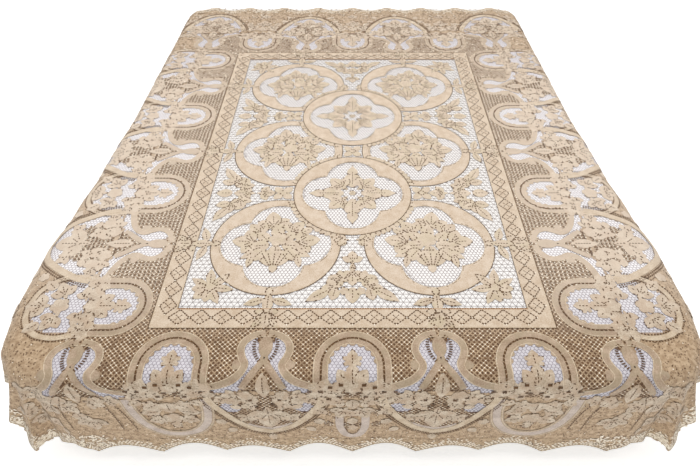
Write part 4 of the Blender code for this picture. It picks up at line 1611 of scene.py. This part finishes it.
# A picot is two short threads that lean together: half its width, its foot and tip from the edge
PICOT_SPACING, PICOT_HALF, PICOT_FOOT, PICOT_TIP = 0.0100, 0.0034, 0.0036, 0.0002
PICOT_THREAD = (0.0026, -0.0004, 0.0006)
round_hem = np.linspace(0, 4 * QUARTER, round(4 * QUARTER / HEM_STEP) + 1)
hem_layer, picot_layer = Layer("hem_ground"), Layer("hem_edging")
inner_line = hem_line(round_hem, HEM_STRIP, 0.0)
outer_line = hem_line(round_hem, BRAID_DEEP)
HEM_COLUMNS = tuple((share, 0.0001) for share in np.linspace(0, 1, 9))
add_band(hem_layer, inner_line, outer_line, 0.0, HEM_COLUMNS)
add_cord(picot_layer, hem_line(round_hem, EDGE_CORD_IN), EDGE_CORD, 0.0)
picots = np.arange(0, 4 * QUARTER, PICOT_SPACING)
for lean in (-PICOT_HALF, PICOT_HALF):
    feet, tips = hem_line(picots + lean, PICOT_FOOT), hem_line(picots, PICOT_TIP)
    add_strands(picot_layer, feet, tips, *PICOT_THREAD)
for row, (inset, share) in enumerate(DOT_ROWS):
    dots = np.arange(row % 2 * DOT_SPACING / 2, 4 * QUARTER, DOT_SPACING)
    dots = dots[chance.random(len(dots)) < share]
    dots = dots + chance.normal(0, DOT_SCATTER, len(dots))
    ahead = hem_line(dots + 0.001, inset) - hem_line(dots - 0.001, inset)
    ahead /= np.linalg.norm(ahead, axis=1)[:, None]
    add_patches(knot_and_highlight_layer, hem_line(dots, inset), ahead, *DOT_SIZE)
print("hem", hem_layer.triangles() + picot_layer.triangles(), "triangles")

# %% [markdown]
# Small leaves and a rosette sit in each scallop, and lines of slits follow the edge inside it.

# %% Rosettes of the hem
HEM_ROSETTE, HEM_LEAF_LIFT = (0, 0.022, 0.011), 0.0003
# Across and degrees of the two leaves on each side of a rosette, then how far in and their size
HEM_LEAVES, HEM_LEAF_IN, HEM_LEAF = ((0.016, 20), (0.034, 40)), 0.040, 0.018
# Distance in from the edge and share of the slits that are there
HEM_LINES, HEM_SLITS_LIFT = ((0.035, 0.25), (0.046, 0.3)), 0.0007
HEM_SLITS = (0.0075, 0.0034, 0.0012)
hem_leaves = Layer("hem_leaves")
for number in range(round(4 * SCALLOPS_A_QUARTER)):
    place, out = edge_place([(number + 1.0) * SCALLOP_PITCH])
    spot = Spot(place[0], -out[0], hem_leaves, HEM_LEAF_LIFT)
    spot.flower(*HEM_ROSETTE)
    for across, degrees in HEM_LEAVES:
        for side in (1, -1):
            spot.leaf("bud", across * side, HEM_LEAF_IN, 90 - side * (90 - degrees), HEM_LEAF)
for inset, share in HEM_LINES:
    add_slits(hem_line(round_hem, inset), HEM_SLITS_LIFT, *HEM_SLITS, share=share)
print("hem leaves", hem_leaves.triangles(), "triangles")

# %% [markdown]
# ## Colours
# The thread is mercerised cotton dyed ecru, a pale straw brown. Colours are chosen as sRGB hex
# values, as on a dye card, and turned to the linear values that the renderer works in.


# %% Colour and node helpers
def linear(hex_colour):
    """Linear colour with alpha from an sRGB hex value."""
    parts = [int(hex_colour[start:start + 2], 16) / 255 for start in (0, 2, 4)]
    curved = [((part + 0.055) / 1.055) ** 2.4 for part in parts]
    return [part / 12.92 if part <= 0.04045 else high for part, high in zip(parts, curved)] + [1.0]


def add_node(tree, kind, settings=None, **links):
    """Adds a node. Settings are properties or sockets by name; links are sockets it takes."""
    node = tree.nodes.new(kind)
    for name, value in (settings or {}).items():
        if hasattr(node, name):
            setattr(node, name, value)
        else:
            node.inputs[name].default_value = value
    for name, source in links.items():
        socket = int(name[1:]) if name[0] == "i" and name[1:].isdigit() else name.replace("_", " ")
        tree.links.new(source, node.inputs[socket])
    return node


def noise(tree, place, size, detail):
    """Cloudy noise whose patches are about a size in m."""
    kind = "ShaderNodeTexNoise"
    return add_node(tree, kind, {"Scale": 1 / size, "Detail": detail}, Vector=place).outputs["Fac"]


def ranged(tree, value, low, high, to_low=0.0, to_high=1.0):
    """A value moved from the range low to high into another range, and held there."""
    settings = {"From Min": low, "From Max": high, "To Min": to_low, "To Max": to_high}
    return add_node(tree, "ShaderNodeMapRange", settings, Value=value).outputs[0]


def mixed(tree, amount, first, second):
    """A mix of two colours. Each is a hex value or another node's colour."""
    node = add_node(tree, "ShaderNodeMix", {"data_type": "RGBA"}, i0=amount)
    for socket, colour in ((6, first), (7, second)):
        if isinstance(colour, str):
            node.inputs[socket].default_value = linear(colour)
        else:
            tree.links.new(colour, node.inputs[socket])
    return node.outputs[2]


COTTON_IOR = 1.53


def new_finish(name, roughness):
    """A new matte material with its node tree and shader."""
    finish = bpy.data.materials.new(name)
    finish.use_nodes = True
    shader = finish.node_tree.nodes["Principled BSDF"]
    shader.inputs["Roughness"].default_value = roughness
    shader.inputs["IOR"].default_value = COTTON_IOR
    return finish, finish.node_tree, shader


def cloth_finish(name, roughness, sheen):
    """A new cloth material, its node tree, shader and flat coordinates."""
    finish, tree, shader = new_finish(name, roughness)
    shader.inputs["Sheen Weight"].default_value = sheen
    shader.inputs["Sheen Roughness"].default_value = 0.5
    flat = add_node(tree, "ShaderNodeUVMap", {"uv_map": "flat"}).outputs["UV"]
    return finish, tree, shader, flat


def connect(tree, shader, colour, height, strength, distance):
    """Joins a colour and a relief to the shader."""
    settings = {"Strength": strength, "Distance": distance}
    relief = add_node(tree, "ShaderNodeBump", settings, Height=height)
    tree.links.new(colour, shader.inputs["Base Color"])
    tree.links.new(relief.outputs["Normal"], shader.inputs["Normal"])


# The cloth is paler away from the foot: flat v where the change starts and ends, and what share of
# it is left at the head
PALER_FROM, PALER_TO = -0.74, -0.50
HEAD_FROM, HEAD_TO, HEAD_PART = 0.30, 0.85, 0.55
BLEACHED = "F0E0CE"


def paler_from_the_foot(tree, flat, colour, share, pale=BLEACHED):
    """Mixes a share of a pale colour in, rising from nothing at the foot."""
    along = add_node(tree, "ShaderNodeSeparateXYZ", Vector=flat).outputs["Y"]
    rising = ranged(tree, along, PALER_FROM, PALER_TO, to_high=share)
    falling = ranged(tree, along, HEAD_FROM, HEAD_TO, 1.0, HEAD_PART)
    amount = add_node(tree, "ShaderNodeMath", {"operation": "MULTIPLY"}, i0=rising, i1=falling)
    return mixed(tree, amount.outputs[0], colour, pale)


print("ecru in linear", [round(part, 3) for part in linear("DDCBAF")])

# %% [markdown]
# ## Thread materials
# Close stitch is rows of parallel thread about 1.6 mm apart here, coarser than the real 0.8 mm so
# that it shows. Two sizes of mottling stand for uneven tension and wear: patches of 25 mm and
# flecks of 4 mm. The same recipe, with other hex values, makes leaves, net, tape and edging. The
# leaves are also tinted a little in patches of 32 mm.

# %% Stitched thread
THREAD_ROWS = 0.0016
PATCH_SIZE = 0.025
FLECK_SIZE = 0.004
STAIN_SIZE = 0.032
THREAD_ROUGHNESS, THREAD_SHEEN = 0.86, 0.12
# The part of the summed noise that runs from the dark colour to the pale one
TONE_RANGE = (0.80, 1.20)
STAIN_RANGE, STAIN_SHARE = (0.48, 0.56), 0.45
THREAD_HEIGHT = 0.0006


def stitched_cotton(name, dark, pale, paler=0.0, rows=THREAD_ROWS, bump=0.35, bleached=BLEACHED,
                    tint=None):
    finish, tree, shader, flat = cloth_finish(name, THREAD_ROUGHNESS, THREAD_SHEEN)
    patches, flecks = noise(tree, flat, PATCH_SIZE, 3.0), noise(tree, flat, FLECK_SIZE, 2.0)
    weave = add_node(tree, "ShaderNodeTexWave",
                     {"Scale": 1 / rows / 2, "Distortion": 1.5, "Detail": 1.0, "Detail Scale": 2.0},
                     Vector=flat)
    tone = add_node(tree, "ShaderNodeMath", {"operation": "ADD"}, i0=patches, i1=flecks).outputs[0]
    colour = mixed(tree, ranged(tree, tone, *TONE_RANGE), dark, pale)
    if tint:
        stain = noise(tree, flat, STAIN_SIZE, 1.0)
        colour = mixed(tree, ranged(tree, stain, *STAIN_RANGE, to_high=STAIN_SHARE), colour, tint)
    colour = paler_from_the_foot(tree, flat, colour, paler, bleached)
    connect(tree, shader, colour, weave.outputs["Fac"], bump, THREAD_HEIGHT)
    return finish


finishes = {
    "ring": stitched_cotton("ecru_cotton_cloth_stitch", "CBB59B", "E0CFBB", 0.12),
    "ribbon": stitched_cotton("ecru_cotton_braid", "C8B298", "DFCEB8", 0.20),
    "leaf": stitched_cotton("ecru_cotton_leaf_stitch", "BCA890", "DECDB6", 0.30, tint="C4B694"),
    "border": stitched_cotton("ecru_cotton_border_stitch", "A48C74", "C2AC94", 0.50, tint="AA9A7E"),
    "curve": stitched_cotton("cream_cotton_curve_stitch", "BEA88C", "DAC9B0", 0.35),
    "border_leaf": stitched_cotton("ecru_cotton_border_leaf", "B09C84", "D8C8B2", 0.55, tint="BCA084"),
    "fold": stitched_cotton("tan_braid_fold", "A97F58", "C49A70", rows=0.001, bump=0.1),
    # The knots are a lighter cream than any thread, as painted highlights
    "knot_and_highlight": stitched_cotton("cream_knots_and_painted_highlights", "F0E2CA", "FFF6E6", rows=0.001, bump=0.1),
    "cord": stitched_cotton("cream_gimp_cord", "C0AA8C", "E0D0B8", 0.25, rows=0.0024),
    "ring_net": stitched_cotton("bleached_fine_net_thread", "90868A", "B6ACAC", 0.1, 0.001, 0.1),
    "net": stitched_cotton("bleached_net_thread", "8E888A", "B6B0AE", 0.15, 0.001, 0.1),
    "border_net": stitched_cotton("grey_net_thread", "948C94", "ACA4AE", 0.20, 0.001, 0.1),
    # The window backing stands for the white bedding seen through the nets, painted lighter as lit
    "window_backing": stitched_cotton("lit_white_window_backing", "CAC7CC", "DEDBE0", 0.9, 0.001, 0.1, "FCFBFC"),
    "half": stitched_cotton("half_stitch_cotton", "B2A296", "CFC0B4", 0.40, 0.001, 0.2),
    "tape": stitched_cotton("ecru_trellis_tape", "8E745A", "C6AC8C", 0.50, rows=0.001),
    "edging": stitched_cotton("ecru_picot_thread", "A8957C", "CCBCA2", 0.25, rows=0.0012),
}
print(len(finishes), "thread finishes")

# %% [markdown]
# The dark mesh and the close ground are made of many small holes. At this size they are drawn in
# the material: cells of about 6 mm for the close ground and 3 mm for the mesh, with the hole in
# each cell darker, as painted shade. The mesh is painted dark brown all through, as shade.


# %% Grounds with small holes
CLOUD_SIZE = 0.012
SMALL_CELL = 0.0030
# Size of the dark hole as a share of the cell
CLOSE_HOLE, MESH_HOLE = 0.16, 0.20
HOLE_EDGE = 0.25
GROUND_ROUGHNESS, GROUND_SHEEN = 0.9, 0.08
CLOUD_RANGE = (0.38, 0.62)
# Strength and height in m
GROUND_RELIEF = (0.5, 0.0008)


def holed_ground(name, hole, thread, light, cell, paler):
    finish, tree, shader, flat = cloth_finish(name, GROUND_ROUGHNESS, GROUND_SHEEN)
    cells = add_node(tree, "ShaderNodeTexVoronoi", {"Scale": 1 / cell, "Randomness": 0.75}, Vector=flat)
    distance = cells.outputs["Distance"]
    tone = ranged(tree, noise(tree, flat, CLOUD_SIZE, 4.0), *CLOUD_RANGE)
    worked = mixed(tree, tone, thread, light)
    hole_size = CLOSE_HOLE if cell > SMALL_CELL else MESH_HOLE
    colour = mixed(tree, ranged(tree, distance, hole_size, hole_size + HOLE_EDGE), hole, worked)
    colour = paler_from_the_foot(tree, flat, colour, paler)
    connect(tree, shader, colour, distance, *GROUND_RELIEF)
    return finish


finishes["close"] = holed_ground("ecru_close_ground", "6A5038", "A58A6C", "C8AF90", 0.0056, 0.30)
finishes["hem"] = holed_ground("ecru_hem_ground", "705640", "A88E6E", "CBB292", 0.0058, 0.25)
# Painted shade: the dense mesh, the holes of the trellis and the slits are brown for the shade in openings
finishes["shade"] = holed_ground("dense_mesh_painted_shade", "402A18", "60442C", "765638", SMALL_CELL, 0.36)
finishes["mark"] = holed_ground("shadow_in_the_trellis_holes", "5E4228", "705234", "846440", SMALL_CELL, 0.12)
finishes["slit"] = holed_ground("shadow_in_the_slits", "40290F", "56391C", "6A4A28", SMALL_CELL, 0.06)
print("ground finishes made")

# %% [markdown]
# ## Lay every layer on the bed
# The order doesn't matter, because each layer has its own height. First come the slits of all the
# plates, apart from those that a later plate hides. Then the close ground is laid, and the other
# layers after it.

# %% Lay the layers
for number, (places, ahead, width, lift) in enumerate(plate_slits):
    shown = on_map(plate_order, places) <= number + 1
    add_patches(slits, places[shown], ahead[shown], SLIT_LENGTH, width, lift)
sheet_piece = lay_on_bed(close_layer, finishes["close"])
others = [
    lay_on_bed(layer, finishes[finish])
    for layer, finish in (
        (hem_layer, "hem"), (shade_layer, "shade"), (trellis_layer, "tape"),
        (ring_net, "ring_net"), (panel_net, "net"), (border_net, "border_net"), (window_backing_layer, "window_backing"),
        (ribbon_layer, "ribbon"), (ring_layer, "ring"), (knot_and_highlight_layer, "knot_and_highlight"),
        (leaf_layer, "leaf"), (band_layer, "border"), (curve_layer, "curve"), (low_layer, "half"),
        (border_leaves, "border_leaf"),
        (hem_leaves, "border"), (cord_layer, "cord"), (picot_layer, "edging"), (slits, "slit"),
        (mark_layer, "mark"), (fold_layer, "fold"),
    )
]

# %% [markdown]
# ## Mattress and base
# The mattress is covered in bleached cotton ticking, and the base in a pale upholstery cloth.
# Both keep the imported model's shape and only get a finish. Their weave is drawn from object
# coordinates, because they carry no flat pattern.


# %% Woven covers
def woven_cover(name, dark, pale, thread):
    finish, tree, shader = new_finish(name, 0.9)
    place = add_node(tree, "ShaderNodeTexCoord").outputs["Object"]
    threads = [
        add_node(tree, "ShaderNodeTexWave", {"Scale": 1 / thread / 2, "bands_direction": way}, Vector=place)
        for way in ("X", "Y")
    ]
    warp, weft = (node.outputs["Fac"] for node in threads)
    crossed = add_node(tree, "ShaderNodeMath", {"operation": "MULTIPLY"}, i0=warp, i1=weft)
    cloud = add_node(tree, "ShaderNodeTexNoise", {"Scale": 9.0, "Detail": 4.0}, Vector=place)
    colour = mixed(tree, cloud.outputs["Fac"], dark, pale)
    connect(tree, shader, colour, crossed.outputs[0], 0.25, 0.0004)
    return finish


covers = {
    "mattress": woven_cover("woven_cotton_ticking", "F4F2F0", "FFFEFC", 0.0016),
    "bed_base": woven_cover("woven_upholstery_cloth", "D6D1C8", "E6E2DA", 0.0022),
}
for node_name, cover in covers.items():
    for material_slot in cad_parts[node_name].material_slots:
        material_slot.material = cover
print("covers on", sorted(covers))

# %% [markdown]
# ## Floor, light and camera
# The bed stands on a plain pale floor in soft light from a wide panel overhead, as in a studio.
# A white surround fills the shadows. The camera looks down over the foot of the bed.

# %% Floor and light
FLOOR_HALF = 9.0
FLOOR_GLOW = 0.42
SURROUND_GLOW = 0.56
floor_mesh = bpy.data.meshes.new("floor")
corners = [(-1, -1), (1, -1), (1, 1), (-1, 1)]
floor_mesh.from_pydata([(x * FLOOR_HALF, y * FLOOR_HALF, 0) for x, y in corners], [], [(0, 1, 2, 3)])
floor = bpy.data.objects.new("floor", floor_mesh)
bpy.context.scene.collection.objects.link(floor)
floor_paint = bpy.data.materials.new("matte_white_floor_paint")
floor_paint.use_nodes = True
floor_shader = floor_paint.node_tree.nodes["Principled BSDF"]
floor_shader.inputs["Base Color"].default_value = linear("FDFDFC")
floor_shader.inputs["Roughness"].default_value = 0.95
floor_shader.inputs["Emission Color"].default_value = (1, 1, 1, 1)
floor_shader.inputs["Emission Strength"].default_value = FLOOR_GLOW
floor_mesh.materials.append(floor_paint)


def add_panel_light(name, place, aim, size, power, colour):
    """A soft panel turned from its place to an aim; size in m and power in W."""
    lamp = bpy.data.lights.new(name, "AREA")
    lamp.shape, lamp.size, lamp.size_y = "RECTANGLE", size[0], size[1]
    lamp.energy, lamp.color = power, linear(colour)[:3]
    holder = bpy.data.objects.new(name, lamp)
    holder.location = place
    way = np.array(aim) - np.array(place)
    holder.rotation_euler = (math.atan2(math.hypot(way[0], way[1]), -way[2]), 0,
                             math.atan2(-way[0], way[1]) if way[0] or way[1] else 0)
    bpy.context.scene.collection.objects.link(holder)


add_panel_light("overhead_panel", (0, 0.2, 3.2), aim=(0, 0.2, 0), size=(3.6, 3.6), power=72, colour="FFFBF8")
add_panel_light(
    "foot_fill", (0, -3.4, 1.6), aim=(0, -0.6, 0.3), size=(3.0, 1.8), power=4.5, colour="FFFAF4")
world = bpy.data.worlds.new("white_surround")
world.use_nodes = True
world.node_tree.nodes["Background"].inputs["Color"].default_value = (1, 1, 1, 1)
world.node_tree.nodes["Background"].inputs["Strength"].default_value = SURROUND_GLOW
bpy.context.scene.world = world
bpy.context.scene.view_settings.view_transform = "Standard"
print("lights placed")

# %% Camera at the foot
PHOTO_WIDTH = 700
FOCAL_PIXELS = 510.9
LOOK_DOWN = 45.7
CAMERA_BACK = 0.555
CAMERA_UP = 1.039
AXIS_RIGHT = 2.5
camera_data = bpy.data.cameras.new("camera")
camera_data.sensor_width = 36.0
camera_data.lens = FOCAL_PIXELS / PHOTO_WIDTH * camera_data.sensor_width
camera_data.shift_x = -AXIS_RIGHT / PHOTO_WIDTH
camera = bpy.data.objects.new("camera", camera_data)
camera.location = (0, bed_low.y - CAMERA_BACK, bed_high.z + CAMERA_UP)
camera.rotation_euler = (math.radians(90 - LOOK_DOWN), 0, 0)
bpy.context.scene.collection.objects.link(camera)
bpy.context.scene.camera = camera

# %% Update the scene
bpy.context.view_layer.update()
